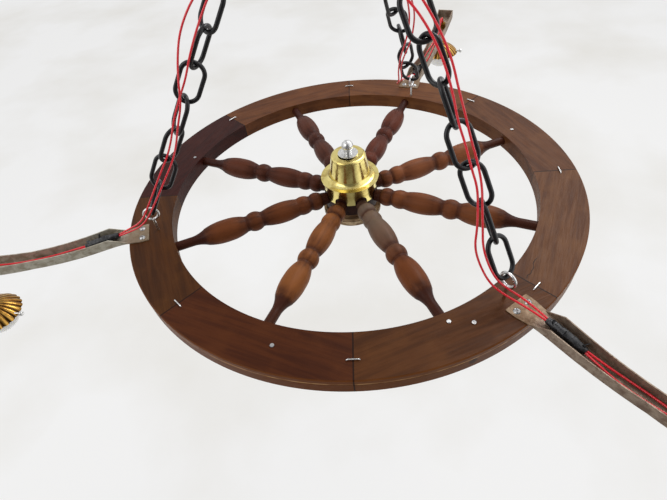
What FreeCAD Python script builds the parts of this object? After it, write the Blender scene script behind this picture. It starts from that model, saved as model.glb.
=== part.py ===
import FreeCAD, Part
import math
import os

# Wagon wheel chandelier: a turned wooden wheel hung flat on three chains, with three
# sheet-steel arms that each carry a lamp. All lengths are in millimetres.
# The origin is the middle of the ceiling plate's top face, and +Z points up.

# ---------------------------------------------------------------- ceiling and ring
PLATE_R = 42.0
PLATE_THICK = 4.0
PLATE_HOLE_CIRCLE_R = 30.0
PLATE_HOLE_R = 2.75
PLATE_HOLES = 3
PLATE_SKIN = 1.0
HOOK_WIRE_R = 4.0
HOOK_BEND_R = 16.0
HOOK_DROP = 52.0
HOOK_TURN = 305.0
HOOK_COLLAR_R = 9.0
HOOK_COLLAR_THICK = 4.0
RING_WIRE_R = 3.5
RING_MEAN_R = 28.5

# ---------------------------------------------------------------- wheel
WHEEL_X = -0.7
WHEEL_Y = 8.2
RIM_OUTER_R = 300.0
RIM_WIDTH = 56.0
RIM_INNER_R = RIM_OUTER_R - RIM_WIDTH
RIM_THICK = 21.0
RIM_ARRIS = 1.2
RIM_BAND = 7.0
RIM_GROOVE = 2.0
RIM_GROOVE_DEPTH = 2.2
RIM_LOWER_STEP = 0.8
FELLOES = 8
FIRST_JOINT = -90.0
DOWEL_R = 4.0
DOWEL_HALF = 15.0
DOWEL_BELOW_TOP = 14.6
STAPLE_FROM_EDGE = 23.0
STAPLE_WIRE_R = 0.8
STAPLE_CROWN = 15.0
STAPLE_LEG = 8.0
STAPLE_PROUD = 1.4
NAIL_HEAD_R = 2.3
NAIL_HEAD_THICK = 0.8
NAIL_R = 0.9
NAIL_LENGTH = 12.0

# Where the nail heads show on the rim's top face: distance from the inner edge, and azimuth.
NAIL_PLACES = [(11.8, -67.5), (24.4, -62.8), (25.4, -107.8), (10.6, 159.3), (17.7, 23.5)]

# ---------------------------------------------------------------- spokes
SPOKE_AXIS_BELOW_TOP = 10.6
SPOKE_TENON_R = 6.1
SPOKE_RIM_TENON = 20.0
SPOKE_HUB_TENON = 14.0
SPOKE_NECK_R = 8.0
SPOKE_DRAWN = 208.0
TENON_GAP = 0.1

# The turned outline: each piece is an arc given by start, through and end, as (distance from
# the core's face, thickness radius), drawn for a free length of SPOKE_DRAWN.
SPOKE_ARCS = [
    ((8.0, 9.0), (15.5, 12.2), (24.0, 9.8)),
    ((26.0, 10.2), (33.5, 12.6), (41.0, 11.6)),
    ((43.0, 11.6), (65.0, 14.1), (91.0, 10.0)),
    ((93.5, 10.2), (102.0, 13.1), (112.0, 10.2)),
    ((115.0, 10.3), (124.5, 13.3), (140.0, 14.9)),
    ((140.0, 14.9), (155.0, 14.2), (168.0, 11.3)),
    ((168.0, 11.3), (176.0, 7.9), (185.0, SPOKE_TENON_R)),
]

# ---------------------------------------------------------------- hub
CORE_R = 36.0
CORE_BELOW_TOP = 25.5
CROWN_WALL = 1.2
CROWN_TOP = 14.7
CROWN_BELOW_TOP = 9.0
CROWN_SLOT_HALF = 8.4
CROWN_SLOT_TOP = 1.9
BELL_FLANGE_R = 39.0
BELL_FLANGE_THICK = 1.0
BELL_FOOT_R = 27.0
BELL_FLARE = 5.0
BELL_FLARE_OUT = 8.0
BELL_FLARE_IN = 6.0
BELL_FLARE_MID_OUT = 2.6
BELL_FLARE_MID_UP = 1.5
BELL_SHOULDER_R = 23.2
BELL_TOP_R = 19.5
BELL_HEIGHT = 34.8
BELL_SHOULDER = 4.2
BELL_WALL = 1.2
BELL_HOLE_R = 12.5
BELL_HOLE_FORWARD = 2.6
BELL_HOLE_ASIDE = 0.8
WASHER_R = 13.2
WASHER_THICK = 1.6
ROD_R = 4.0
ROD_GAP = 0.2
KNOB_R = 7.5
KNOB_NECK_R = 4.6
KNOB_NECK = 4.4
KNOB_RISE = 6.0
ROD_PROUD = 2.0
BASE_R = 40.0
BASE_THICK = 18.5
BASE_STEP = 3.0
BASE_NECK_DEPTH = 6.2
BASE_BAND_TOP = 9.2
BASE_BAND_BOTTOM = 14.2
BASE_FOOT_TOP = 15.4
NUT_FLAT = 13.0
NUT_THICK = 6.5
LOWER_WASHER_R = 10.0

# ---------------------------------------------------------------- chains
LINK_LENGTH = 50.0
LINK_WIDTH = 30.0
LINK_WIRE_R = 2.5
LINKS = 12
LINK_TWIST = 62.0
CONTACT_GAP = 0.3
# The links on the ring need more, because they swing about the lowest point of its wire.
RING_GAP = 0.8
EYE_WIRE_R = 1.75
EYE_MEAN_R = 8.75
EYE_HEIGHT = 27.0
EYE_SHANK = 15.0
LEFT_EYE_FROM_EDGE = 37.95
EYE_TURN = 348.0
SIDES = ("left", "right", "rear")
CHAIN_AZIMUTH = {"left": -164.6, "right": -52.5, "rear": 65.4}
RING_CONTACT = {"left": -20.0, "right": 11.0, "rear": 30.0}
SOLVER_STEPS = 40

# ---------------------------------------------------------------- arms
ARM_AZIMUTH = {"left": -164.3, "right": -51.9, "rear": 68.4}
ARM_SHEET = 1.2
ARM_BASE_IN = 26.0
ARM_BASE_R = RIM_OUTER_R - ARM_BASE_IN
ARM_BEND_OUT = 4.0
ARM_BEND_R = RIM_OUTER_R + ARM_BEND_OUT
ARM_TIP_OUT = 237.0
ARM_TIP_R = RIM_OUTER_R + ARM_TIP_OUT
ARM_DROP_ANGLE = 8.0
ARM_DROP_BEND = 120.0
ARM_STRAIGHT = 18.0
ARM_RISE_BEND = 400.0
ARM_REACH_ANGLE = 24.0
ARM_WALL = 13.0
EAR_HALF = 16.0
EAR_LENGTH = 12.0
ARM_ROOT_HALF = 13.0
ARM_WAIST_OUT = 120.0
ARM_WAIST_R = RIM_OUTER_R + ARM_WAIST_OUT
ARM_WAIST_HALF = 9.6
ARM_TIP_HALF = 14.5
ARM_WALL_START_OUT = 1.0
ARM_WALL_START = RIM_OUTER_R + ARM_WALL_START_OUT
ARM_WALL_FULL_OUT = 24.0
ARM_WALL_FULL = RIM_OUTER_R + ARM_WALL_FULL_OUT
SCREW_IN = 17.5
SCREW_R_ON_WHEEL = RIM_OUTER_R - SCREW_IN
SCREW_HALF_SPACING = 8.8
SCREW_HEAD_R = 4.0
SCREW_HEAD_HEIGHT = 2.4
SCREW_DOME_R = 4.5
SCREW_R = 1.7
SCREW_LENGTH = 15.0
SCREW_SLOT = 1.0

# ---------------------------------------------------------------- lamps
LAMP_OUT = 208.0
LAMP_RADIUS = RIM_OUTER_R + LAMP_OUT
LAMP_DROP = {"left": 64.0, "right": 46.0, "rear": 30.0}
STEM_R = 5.0
STEM_BORE_R = 3.6
STEM_NUT_FLAT = 14.0
STEM_NUT_THICK = 4.0
STEM_PROUD = 2.0
SEAT_R = 7.6
SEAT_THICK = 1.6
SEAT_WEDGE = 2.4
GALLERY_R = 35.0
GALLERY_HEIGHT = 19.0
GALLERY_WALL = 1.0
GALLERY_FLUTES = 24
FLUTE_DEPTH = 0.055
GALLERY_SECTIONS = (0.2, 0.45, 0.72, 1.0)
COLLAR_R = 8.5
COLLAR_THICK = 4.0
HOLDER_R = 12.0
HOLDER_WALL = 2.0
HOLDER_BELOW_RIM = 1.0
GLOBE_R = 28.0
GLOBE_WALL = 1.6
GLOBE_NECK_R = 26.3
GLOBE_NECK_TOP = 4.8
GLOBE_SHOULDER = 2.2
THUMBSCREWS = 3
THUMBSCREW_ABOVE_RIM = 3.2
THUMBSCREW_R = 1.5
THUMBSCREW_BALL_R = 3.6
THUMBSCREW_BALL_AT = 41.0
BULB_R = 8.5
BULB_BELOW_RIM = 10.0
BULB_CAP_R = 6.8
BULB_CAP_TOP = 11.0
CAP_GAP = 0.3

# ---------------------------------------------------------------- wires
WIRE_R = 1.15
WIRE_PAIR_HALF = 1.4
TAPE_START_R = 310.0
TAPE_START_HEIGHT = 6.9
TAPE_END_R = 354.0
TAPE_END_HEIGHT = 1.2
TAPE_END_RADIUS = 3.4
TAPE_RADIUS = 5.4
TAPE_PIECES = 8
BLOCK_LENGTH = 22.0
BLOCK_WIDTH = 15.0
BLOCK_HEIGHT = 20.0
BLOCK_TOP = 354.0
BLOCK_ASIDE = -7.3
BLOCK_HOLE_PITCH = 7.0
BLOCK_SUPPLY_R = 2.2
BLOCK_SUPPLY_DEPTH = 12.0

# Routes of the six wires from their tape joint up beside a chain to the terminal block,
# as points measured from the middle of the rim's top face.
CHAIN_WIRES = {
    "left": [
        [(-298.0, -85.3, 6.9), (-284, -84, 11), (-269, -84, 17), (-255, -86, 28), (-241, -86, 45), (-227, -83, 64),
         (-212, -78, 85), (-197, -71, 106), (-186, -72, 127), (-177, -73, 149), (-166, -71, 173), (-163, -66, 195),
         (-159, -58, 216), (-152, -49, 238), (-136, -42, 261), (-114, -45, 281), (-91, -45, 297), (-66, -36, 311),
         (-44, -28, 315), (-25, -20, 314), (-12, -14, 318), (-7, -11, 326), (-7, -10.8, 334)],
        [(-298.7, -82.5, 6.9), (-285, -79, 12), (-270, -79, 19), (-257, -82, 32), (-245, -82, 49), (-232, -79, 68),
         (-218, -75, 89), (-203, -68, 110), (-192, -67, 130), (-182, -67, 153), (-169, -63, 176), (-156, -62, 196),
         (-146, -61, 217), (-133, -58, 240), (-118, -54, 263), (-101, -50, 284), (-80, -45, 303), (-58, -36, 317),
         (-38, -24, 323), (-21, -12, 321), (-12, -5, 321), (-7.5, -4, 327), (-7, -3.8, 334)],
    ],
    "right": [
        [(192.4, -243.2, 6.9), (182, -231, 11), (171, -221, 15), (158, -217, 24), (145, -216, 37), (136, -210, 53),
         (130, -202, 71), (129, -195, 90), (128, -186, 110), (127, -179, 128), (123, -167, 146), (117, -158, 164),
         (112, -149, 183), (106, -139, 203), (101, -127, 223), (92, -118, 243), (80, -110, 263), (66, -101, 282),
         (48, -92, 299), (35, -72, 312), (23, -50, 319), (14, -32, 319), (8, -18, 320), (7, -12, 326),
         (7, -10.8, 334)],
        [(190.2, -244.9, 6.9), (180, -236, 10), (168, -227, 13), (154, -222, 21), (139, -216, 32), (129, -206, 49),
         (123, -199, 68), (124, -195, 89), (124, -188, 107), (123, -180, 126), (117, -173, 143), (112, -163, 161),
         (105, -154, 180), (101, -144, 200), (95, -133, 220), (86, -125, 240), (74, -116, 259), (59, -108, 275),
         (42, -97, 290), (27, -78, 302), (15, -57, 309), (8, -36, 313), (2, -20, 316), (0, -12, 324),
         (0, -10.8, 334)],
    ],
    "rear": [
        [(112.8, 288.8, 6.9), (105, 277, 10), (95, 265, 12), (86, 252, 15), (81, 237, 20), (81, 221, 27),
         (82, 207, 40), (80, 196, 58), (80, 183, 76), (80.5, 164, 97), (85.5, 153, 119), (90, 149, 139),
         (91, 142, 160), (87, 130, 185), (79, 113, 211), (69, 98, 236), (63, 82, 259), (55, 64, 281),
         (45.5, 46, 296), (32, 28, 306), (18, 12, 311), (10, 1, 314), (7.3, -3.4, 321), (7, -3.6, 327.5), (7, -3.8, 334)],
        [(115.4, 287.8, 6.9), (107, 273, 12), (98, 260, 16), (90, 246, 20), (86, 231, 26), (86, 216, 34),
         (86, 203, 48), (83, 188, 67), (84, 175, 85), (88, 162, 104), (94, 152, 124), (97, 148, 144),
         (97, 138, 166), (91, 122, 190), (82, 105, 214), (71, 91, 239), (60.5, 76.5, 262), (48.5, 60.5, 284),
         (36, 44, 305), (22, 25, 316), (10, 9, 320), (2, -0.5, 321.5), (0.2, -3.4, 327.5), (0, -3.8, 334)],
    ],
}

# Routes along an arm from the tape joint to the lamp's stem, as (radius on the wheel,
# sideways, height above the rim's top face).
ARM_WIRES = [
    [(354, 1.4, 1.2), (371, 2.8, -1.5), (393, 5.8, -4.0), (418, 6.2, -3.2), (444, 3.6, -0.6), (467, 1.6, 4.0),
     (482, 1.3, 10.0), (490.5, 1.3, 18), (495.5, 1.3, 25.5), (501.5, 1.3, 28.5), (506.5, 1.3, 26), (508, 1.3, 20),
     (508, 1.3, 12)],
    [(354, -1.4, 1.2), (372, -2.8, -1.4), (395, -3.6, -3.6), (420, -2.4, -2.6), (444, -1.6, 0.2), (465, -1.4, 5.0),
     (480, -1.3, 12.0), (488.5, -1.3, 20), (494.5, -1.3, 27.5), (501, -1.3, 31), (506.5, -1.3, 28), (508, -1.3, 21),
     (508, -1.3, 12)],
]

Z_AXIS = FreeCAD.Vector(0, 0, 1)
ORIGIN = FreeCAD.Vector(0, 0, 0)

# How far a cutting tool runs past the face that it opens, and past the arm's lowest and
# highest points.
OVERCUT = 1.0
BEYOND_ARM = ARM_RISE_BEND / 2

# ---------------------------------------------------------------- heights worked out
HOOK_WIRE_Z = -HOOK_DROP
RING_TOP_Z = HOOK_WIRE_Z + HOOK_WIRE_R + RING_WIRE_R + CONTACT_GAP
RING_CENTRE_Z = RING_TOP_Z - RING_MEAN_R
RING_BOTTOM_Z = RING_CENTRE_Z - RING_MEAN_R
FELLOE_ANGLE = 360.0 / FELLOES
RING_AZIMUTH = CHAIN_AZIMUTH["left"] + 180.0
BELL_TOP = CROWN_TOP + BELL_HEIGHT


def vec(x, y, z):
    return FreeCAD.Vector(x, y, z)


def flat_direction(azimuth):
    angle = math.radians(azimuth)
    return vec(math.cos(angle), math.sin(angle), 0)


def on_wheel(shape, azimuth=0.0):
    """Turn a piece drawn along +X about the wheel's axis and set it in the wheel's place."""
    placed = shape.copy()
    placed.rotate(ORIGIN, Z_AXIS, azimuth)
    placed.translate(vec(WHEEL_X, WHEEL_Y, RIM_TOP_Z))
    return placed


def wheel_point(radius, azimuth, height):
    return flat_direction(azimuth) * radius + vec(WHEEL_X, WHEEL_Y, RIM_TOP_Z + height)


def line(a, b):
    return Part.LineSegment(a, b).toShape()


def arc(a, through, b):
    return Part.Arc(a, through, b).toShape()


def face_of(edges):
    return Part.Face(Part.Wire(edges))


def polygon_face(points):
    return Part.Face(Part.makePolygon(list(points) + [points[0]]))


def turned(points):
    """A solid of revolution about Z from straight (radius, height) points."""
    outline = [vec(radius, 0, height) for radius, height in points]
    return polygon_face(outline).revolve(ORIGIN, Z_AXIS, 360)


def round_bar(start, end, radius):
    run = end - start
    return Part.makeCylinder(radius, run.Length, start, run)


def one(shape):
    """The fused shape without the seams between its former parts."""
    return shape.removeSplitter()


def fuse_all(shapes):
    return one(shapes[0].multiFuse(shapes[1:]))


def hexagon(flat, thick, base):
    corner = flat / math.sqrt(3)
    points = [base + flat_direction(60 * k) * corner for k in range(6)]
    return polygon_face(points).extrude(vec(0, 0, thick))


def export(name, solids):
    shape = solids[0] if len(solids) == 1 else Part.makeCompound(solids)
    shape.exportStep("parts/" + name + ".step")
    volume = sum(solid.Volume for solid in solids)
    print(name, len(solids), round(volume, 1), all(solid.isValid() for solid in solids))


# ---------------------------------------------------------------- ceiling mount
def ceiling_plate():
    plate = Part.makeCylinder(PLATE_R, PLATE_THICK, vec(0, 0, -PLATE_THICK))
    for k in range(PLATE_HOLES):
        at = flat_direction(360 / PLATE_HOLES * k) * PLATE_HOLE_CIRCLE_R
        plate = plate.cut(Part.makeCylinder(PLATE_HOLE_R, PLATE_THICK, at - vec(0, 0, PLATE_THICK)))
    return plate.cut(Part.makeCylinder(HOOK_WIRE_R, PLATE_THICK - PLATE_SKIN, vec(0, 0, -PLATE_THICK)))


def bent_wire(centre, normal, start, wire_r, angle):
    """A round wire bent from the start point by an angle about an axis."""
    tangent = normal.cross(start - centre)
    circle = Part.Circle(start, tangent, wire_r).toShape()
    section = Part.Face(Part.Wire([circle]))
    return section.revolve(centre, normal, angle)


def ceiling_hook():
    centre = vec(0, 0, HOOK_WIRE_Z + HOOK_BEND_R)
    top = centre + vec(0, 0, HOOK_BEND_R)
    bend = bent_wire(centre, flat_direction(RING_AZIMUTH), top, HOOK_WIRE_R, HOOK_TURN)
    shank = round_bar(top, vec(0, 0, -PLATE_SKIN), HOOK_WIRE_R)
    collar = Part.makeCylinder(HOOK_COLLAR_R, HOOK_COLLAR_THICK, vec(0, 0, -PLATE_THICK - HOOK_COLLAR_THICK))
    return fuse_all([bend, shank, collar])


def gather_ring():
    return Part.makeTorus(RING_MEAN_R, RING_WIRE_R, vec(0, 0, RING_CENTRE_Z), flat_direction(RING_AZIMUTH + 90))


# ---------------------------------------------------------------- rim
def felloe_blank():
    lower_r = RIM_OUTER_R - RIM_LOWER_STEP
    groove_r = RIM_OUTER_R - RIM_GROOVE_DEPTH
    profile = [
        (RIM_INNER_R, 0),
        (RIM_OUTER_R - RIM_ARRIS, 0),
        (RIM_OUTER_R, -RIM_ARRIS),
        (RIM_OUTER_R, -RIM_BAND),
        (groove_r, -RIM_BAND),
        (groove_r, -RIM_BAND - RIM_GROOVE),
        (lower_r, -RIM_BAND - RIM_GROOVE),
        (lower_r, -RIM_THICK),
        (RIM_INNER_R, -RIM_THICK),
    ]
    section = polygon_face([vec(radius, 0, height) for radius, height in profile])
    section.rotate(ORIGIN, Z_AXIS, -FELLOE_ANGLE / 2)
    blank = section.revolve(ORIGIN, Z_AXIS, FELLOE_ANGLE)
    start = vec(RIM_INNER_R - OVERCUT, 0, -SPOKE_AXIS_BELOW_TOP)
    end = vec(RIM_INNER_R + SPOKE_RIM_TENON, 0, -SPOKE_AXIS_BELOW_TOP)
    blank = blank.cut(round_bar(start, end, SPOKE_TENON_R + TENON_GAP))
    return blank


def dowel():
    """A round dowel across the joint, in the middle of the rim's width."""
    middle = vec((RIM_INNER_R + RIM_OUTER_R) / 2, 0, -DOWEL_BELOW_TOP)
    return round_bar(middle - vec(0, DOWEL_HALF, 0), middle + vec(0, DOWEL_HALF, 0), DOWEL_R)


def staple():
    """A wire staple across the joint, its crown a little proud of the wood."""
    half = STAPLE_CROWN / 2 - STAPLE_WIRE_R
    bend = STAPLE_WIRE_R * 2
    top = STAPLE_PROUD
    corner = bend * (1 - math.sqrt(0.5))
    path = Part.Wire([
        line(vec(0, -half, -STAPLE_LEG), vec(0, -half, top - bend)),
        arc(vec(0, -half, top - bend), vec(0, -half + corner, top - corner), vec(0, -half + bend, top)),
        line(vec(0, -half + bend, top), vec(0, half - bend, top)),
        arc(vec(0, half - bend, top), vec(0, half - corner, top - corner), vec(0, half, top - bend)),
        line(vec(0, half, top - bend), vec(0, half, -STAPLE_LEG)),
    ])
    section = Part.Wire([Part.Circle(vec(0, -half, -STAPLE_LEG), Z_AXIS, STAPLE_WIRE_R).toShape()])
    return path.makePipeShell([section], True, False).translated(vec(RIM_OUTER_R - STAPLE_FROM_EDGE, 0, 0))


def nail(radius, azimuth):
    shank = Part.makeCylinder(NAIL_R, NAIL_LENGTH, vec(0, 0, -NAIL_LENGTH))
    head = Part.makeCylinder(NAIL_HEAD_R, NAIL_HEAD_THICK)
    shape = one(shank.fuse(head))
    shape.translate(flat_direction(azimuth) * radius)
    return shape


# ---------------------------------------------------------------- spokes
def spoke():
    stretch = (RIM_INNER_R - CORE_R) / SPOKE_DRAWN

    def at(point):
        return vec(CORE_R + point[0] * stretch, 0, point[1])

    tenon_start = CORE_R - SPOKE_HUB_TENON
    rim_end = RIM_INNER_R + SPOKE_RIM_TENON
    edges = []
    here = vec(tenon_start, 0, 0)
    for there in [vec(tenon_start, 0, SPOKE_TENON_R), at((0, SPOKE_TENON_R)), at((0, SPOKE_NECK_R))]:
        edges.append(line(here, there))
        here = there
    for start, through, end in SPOKE_ARCS:
        if (at(start) - here).Length > TENON_GAP:
            edges.append(line(here, at(start)))
        edges.append(arc(at(start), at(through), at(end)))
        here = at(end)
    for there in [vec(rim_end, 0, SPOKE_TENON_R), vec(rim_end, 0, 0), vec(tenon_start, 0, 0)]:
        edges.append(line(here, there))
        here = there
    shape = face_of(edges).revolve(ORIGIN, vec(1, 0, 0), 360)
    shape.translate(vec(0, 0, -SPOKE_AXIS_BELOW_TOP))
    return shape


# ---------------------------------------------------------------- hub
def hub_core():
    inner_r = CORE_R - CROWN_WALL
    core = turned([
        (ROD_R + ROD_GAP, -CORE_BELOW_TOP),
        (CORE_R, -CORE_BELOW_TOP),
        (CORE_R, -CROWN_BELOW_TOP),
        (inner_r, -CROWN_BELOW_TOP),
        (inner_r, CROWN_TOP),
        (ROD_R + ROD_GAP, CROWN_TOP),
    ])
    for k in range(FELLOES):
        start = vec(CORE_R - SPOKE_HUB_TENON, 0, -SPOKE_AXIS_BELOW_TOP)
        hole = round_bar(start, start + vec(SPOKE_HUB_TENON + OVERCUT, 0, 0), SPOKE_TENON_R + TENON_GAP)
        hole.rotate(ORIGIN, Z_AXIS, FELLOE_ANGLE * (k + 0.5) + FIRST_JOINT)
        core = core.cut(hole)
    return core


def hub_crown():
    crown = turned([
        (CORE_R - CROWN_WALL, -CROWN_BELOW_TOP),
        (CORE_R, -CROWN_BELOW_TOP),
        (CORE_R, CROWN_TOP),
        (CORE_R - CROWN_WALL, CROWN_TOP),
    ])
    slot_centre = CROWN_SLOT_TOP - CROWN_SLOT_HALF
    for k in range(FELLOES):
        start = vec(CORE_R / 2, 0, slot_centre)
        slot = round_bar(start, start + vec(CORE_R, 0, 0), CROWN_SLOT_HALF)
        depth = slot_centre + CROWN_BELOW_TOP
        below = Part.makeBox(CORE_R, 2 * CROWN_SLOT_HALF, depth, vec(CORE_R / 2, -CROWN_SLOT_HALF, -CROWN_BELOW_TOP))
        slot = slot.fuse(below)
        slot.rotate(ORIGIN, Z_AXIS, FELLOE_ANGLE * (k + 0.5) + FIRST_JOINT)
        crown = crown.cut(slot)
    return crown


def hub_bell():
    """A thin bell: flat flange, hollow flare, leaning wall, round shoulder and flat top."""
    foot = CROWN_TOP
    flange_top = foot + BELL_FLANGE_THICK
    flare_top = flange_top + BELL_FLARE
    wall = BELL_WALL
    inward = vec(wall, 0, wall) * math.sqrt(0.5)
    flare_mid = vec(BELL_FOOT_R + BELL_FLARE_MID_OUT, 0, flange_top + BELL_FLARE_MID_UP)
    shoulder = BELL_TOP - BELL_SHOULDER
    bend_r = BELL_TOP_R + 0.7 * (BELL_SHOULDER_R - BELL_TOP_R)
    shoulder_mid = vec(bend_r, 0, BELL_TOP - 0.3 * BELL_SHOULDER)
    corners = [
        vec(BELL_FOOT_R + BELL_FLARE_IN, 0, foot),
        vec(BELL_FLANGE_R, 0, foot),
        vec(BELL_FLANGE_R, 0, flange_top),
        vec(BELL_FOOT_R + BELL_FLARE_OUT, 0, flange_top),
        vec(BELL_FOOT_R, 0, flare_top),
        vec(BELL_SHOULDER_R, 0, shoulder),
        vec(BELL_TOP_R, 0, BELL_TOP),
        vec(0, 0, BELL_TOP),
        vec(0, 0, BELL_TOP - wall),
        vec(BELL_TOP_R, 0, BELL_TOP - wall),
        vec(BELL_SHOULDER_R - wall, 0, shoulder),
        vec(BELL_FOOT_R - wall, 0, flare_top),
    ]
    middles = {3: flare_mid, 5: shoulder_mid, 9: shoulder_mid - inward, 11: flare_mid - inward}
    edges = []
    for k, corner in enumerate(corners):
        following = corners[(k + 1) % len(corners)]
        if k in middles:
            edges.append(arc(corner, middles[k], following))
        else:
            edges.append(line(corner, following))
    bell = face_of(edges).revolve(ORIGIN, Z_AXIS, 360)
    hole = Part.makeCylinder(BELL_HOLE_R, 3 * wall, vec(-BELL_HOLE_ASIDE, -BELL_HOLE_FORWARD, BELL_TOP - 2 * wall))
    return bell.cut(hole)


def ring_washer(outer, inner, thick, bottom):
    return turned([(inner, bottom), (outer, bottom), (outer, bottom + thick), (inner, bottom + thick)])


def hub_rod():
    """Threaded rod through the hub, with the ball knob on its upper end."""
    bottom = -CORE_BELOW_TOP - BASE_THICK - WASHER_THICK - NUT_THICK - ROD_PROUD
    neck = BELL_TOP + WASHER_THICK
    ball = neck + KNOB_NECK + KNOB_RISE
    rod = Part.makeCylinder(ROD_R, neck - bottom, vec(0, 0, bottom))
    collar = Part.makeCylinder(KNOB_NECK_R, ball - neck, vec(0, 0, neck))
    return fuse_all([rod, collar, Part.makeSphere(KNOB_R, vec(0, 0, ball))])


def hub_nuts():
    upper = ring_washer(WASHER_R, ROD_R + ROD_GAP, WASHER_THICK, BELL_TOP)
    under = -CORE_BELOW_TOP - BASE_THICK - WASHER_THICK
    lower = ring_washer(LOWER_WASHER_R, ROD_R + ROD_GAP, WASHER_THICK, under)
    nut = hexagon(NUT_FLAT, NUT_THICK, vec(0, 0, under - NUT_THICK))
    nut = nut.cut(Part.makeCylinder(ROD_R, NUT_THICK, vec(0, 0, under - NUT_THICK)))
    return [upper, lower, nut]


def hub_base():
    """Turned plate below the core: a neck, a wide band and a foot."""
    top = -CORE_BELOW_TOP
    neck_r = BASE_R - 2 * BASE_STEP
    foot_r = BASE_R - BASE_STEP
    return turned([
        (ROD_R + ROD_GAP, top),
        (neck_r, top),
        (neck_r, top - BASE_NECK_DEPTH),
        (foot_r, top - BASE_NECK_DEPTH),
        (foot_r, top - BASE_BAND_TOP),
        (BASE_R, top - BASE_BAND_TOP),
        (BASE_R, top - BASE_BAND_BOTTOM),
        (foot_r, top - BASE_FOOT_TOP),
        (foot_r, top - BASE_THICK),
        (ROD_R + ROD_GAP, top - BASE_THICK),
    ])


# ---------------------------------------------------------------- chains and eyes
LINK_HALF = LINK_LENGTH / 2 - LINK_WIRE_R
LINK_PITCH = 2 * LINK_HALF - 2 * LINK_WIRE_R - CONTACT_GAP
EYE_TO_LINK = LINK_HALF - LINK_WIRE_R - EYE_WIRE_R - CONTACT_GAP
LINK_TO_RING = LINK_HALF - LINK_WIRE_R - RING_WIRE_R - RING_GAP
CHAIN_LENGTH = EYE_TO_LINK + (LINKS - 1) * LINK_PITCH + LINK_TO_RING


def ring_contact(side):
    """Where a chain pulls on the gather ring's wire, and the wire's direction there."""
    angle = math.radians(RING_CONTACT[side])
    along = flat_direction(RING_AZIMUTH)
    centre = vec(0, 0, RING_CENTRE_Z)
    point = centre + (along * math.sin(angle) - Z_AXIS * math.cos(angle)) * RING_MEAN_R
    tangent = along * math.cos(angle) + Z_AXIS * math.sin(angle)
    return point, tangent


def eye_reach(azimuth, pull):
    """From the eye's centre to the middle of the wire that the chain pulls on."""
    outward = flat_direction(azimuth)
    return (outward * outward.dot(pull) + Z_AXIS * pull.z).normalize() * EYE_MEAN_R


def hanging_height():
    """Height of the rim's top face at which the taut left chain just reaches the ring."""
    top, _ = ring_contact("left")
    azimuth = CHAIN_AZIMUTH["left"]
    eye = vec(WHEEL_X, WHEEL_Y, 0) + flat_direction(azimuth) * (RIM_OUTER_R - LEFT_EYE_FROM_EDGE)
    pull = Z_AXIS
    for _ in range(SOLVER_STEPS):
        contact = eye + eye_reach(azimuth, pull)
        level = vec(top.x - contact.x, top.y - contact.y, 0)
        rise = math.sqrt(CHAIN_LENGTH ** 2 - level.dot(level))
        pull = (level + Z_AXIS * rise).normalize()
    return top.z - rise - eye_reach(azimuth, pull).z - EYE_HEIGHT


RIM_TOP_Z = hanging_height()


def chain_line(side):
    """Solve the eye's radius on the wheel so that the taut chain just reaches the ring."""
    top, _ = ring_contact(side)
    azimuth = CHAIN_AZIMUTH[side]
    outward = flat_direction(azimuth)
    pull = Z_AXIS
    for _ in range(SOLVER_STEPS):
        reach = eye_reach(azimuth, pull)
        gap = wheel_point(0, azimuth, EYE_HEIGHT) + reach - top
        level = vec(gap.x, gap.y, 0)
        inward = level.dot(outward)
        radius = math.sqrt(inward * inward - level.dot(level) + CHAIN_LENGTH ** 2 - gap.z ** 2) - inward
        contact = wheel_point(radius, azimuth, EYE_HEIGHT) + reach
        pull = (top - contact).normalize()
    return radius, contact, pull


def screw_eye(side):
    radius, _, _ = chain_line(side)
    azimuth = CHAIN_AZIMUTH[side]
    centre = vec(0, 0, EYE_HEIGHT)
    normal = Z_AXIS.cross(flat_direction(azimuth))
    bottom = centre - vec(0, 0, EYE_MEAN_R)
    bend = bent_wire(centre, normal, bottom, EYE_WIRE_R, EYE_TURN)
    shank = round_bar(vec(0, 0, -EYE_SHANK), bottom, EYE_WIRE_R)
    shape = one(bend.fuse(shank))
    shape.translate(wheel_point(radius, azimuth, 0))
    return shape


def plain_link():
    """One welded link lying in the XZ plane, long way up, centred on the origin."""
    bend = LINK_WIDTH / 2 - LINK_WIRE_R
    straight = LINK_HALF - bend
    path = Part.Wire([
        line(vec(bend, 0, -straight), vec(bend, 0, straight)),
        arc(vec(bend, 0, straight), vec(0, 0, straight + bend), vec(-bend, 0, straight)),
        line(vec(-bend, 0, straight), vec(-bend, 0, -straight)),
        arc(vec(-bend, 0, -straight), vec(0, 0, -straight - bend), vec(bend, 0, -straight)),
    ])
    section = Part.Wire([Part.Circle(vec(bend, 0, -straight), Z_AXIS, LINK_WIRE_R).toShape()])
    return path.makePipeShell([section], True, False)


def set_link(link, centre, along, normal):
    width = normal.cross(along)
    matrix = FreeCAD.Matrix(width.x, normal.x, along.x, centre.x,
                            width.y, normal.y, along.y, centre.y,
                            width.z, normal.z, along.z, centre.z,
                            0, 0, 0, 1)
    placed = link.copy()
    placed.Placement = FreeCAD.Placement(matrix)
    return placed


def square_to(direction, along):
    return (direction - along * direction.dot(along)).normalize()


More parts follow.
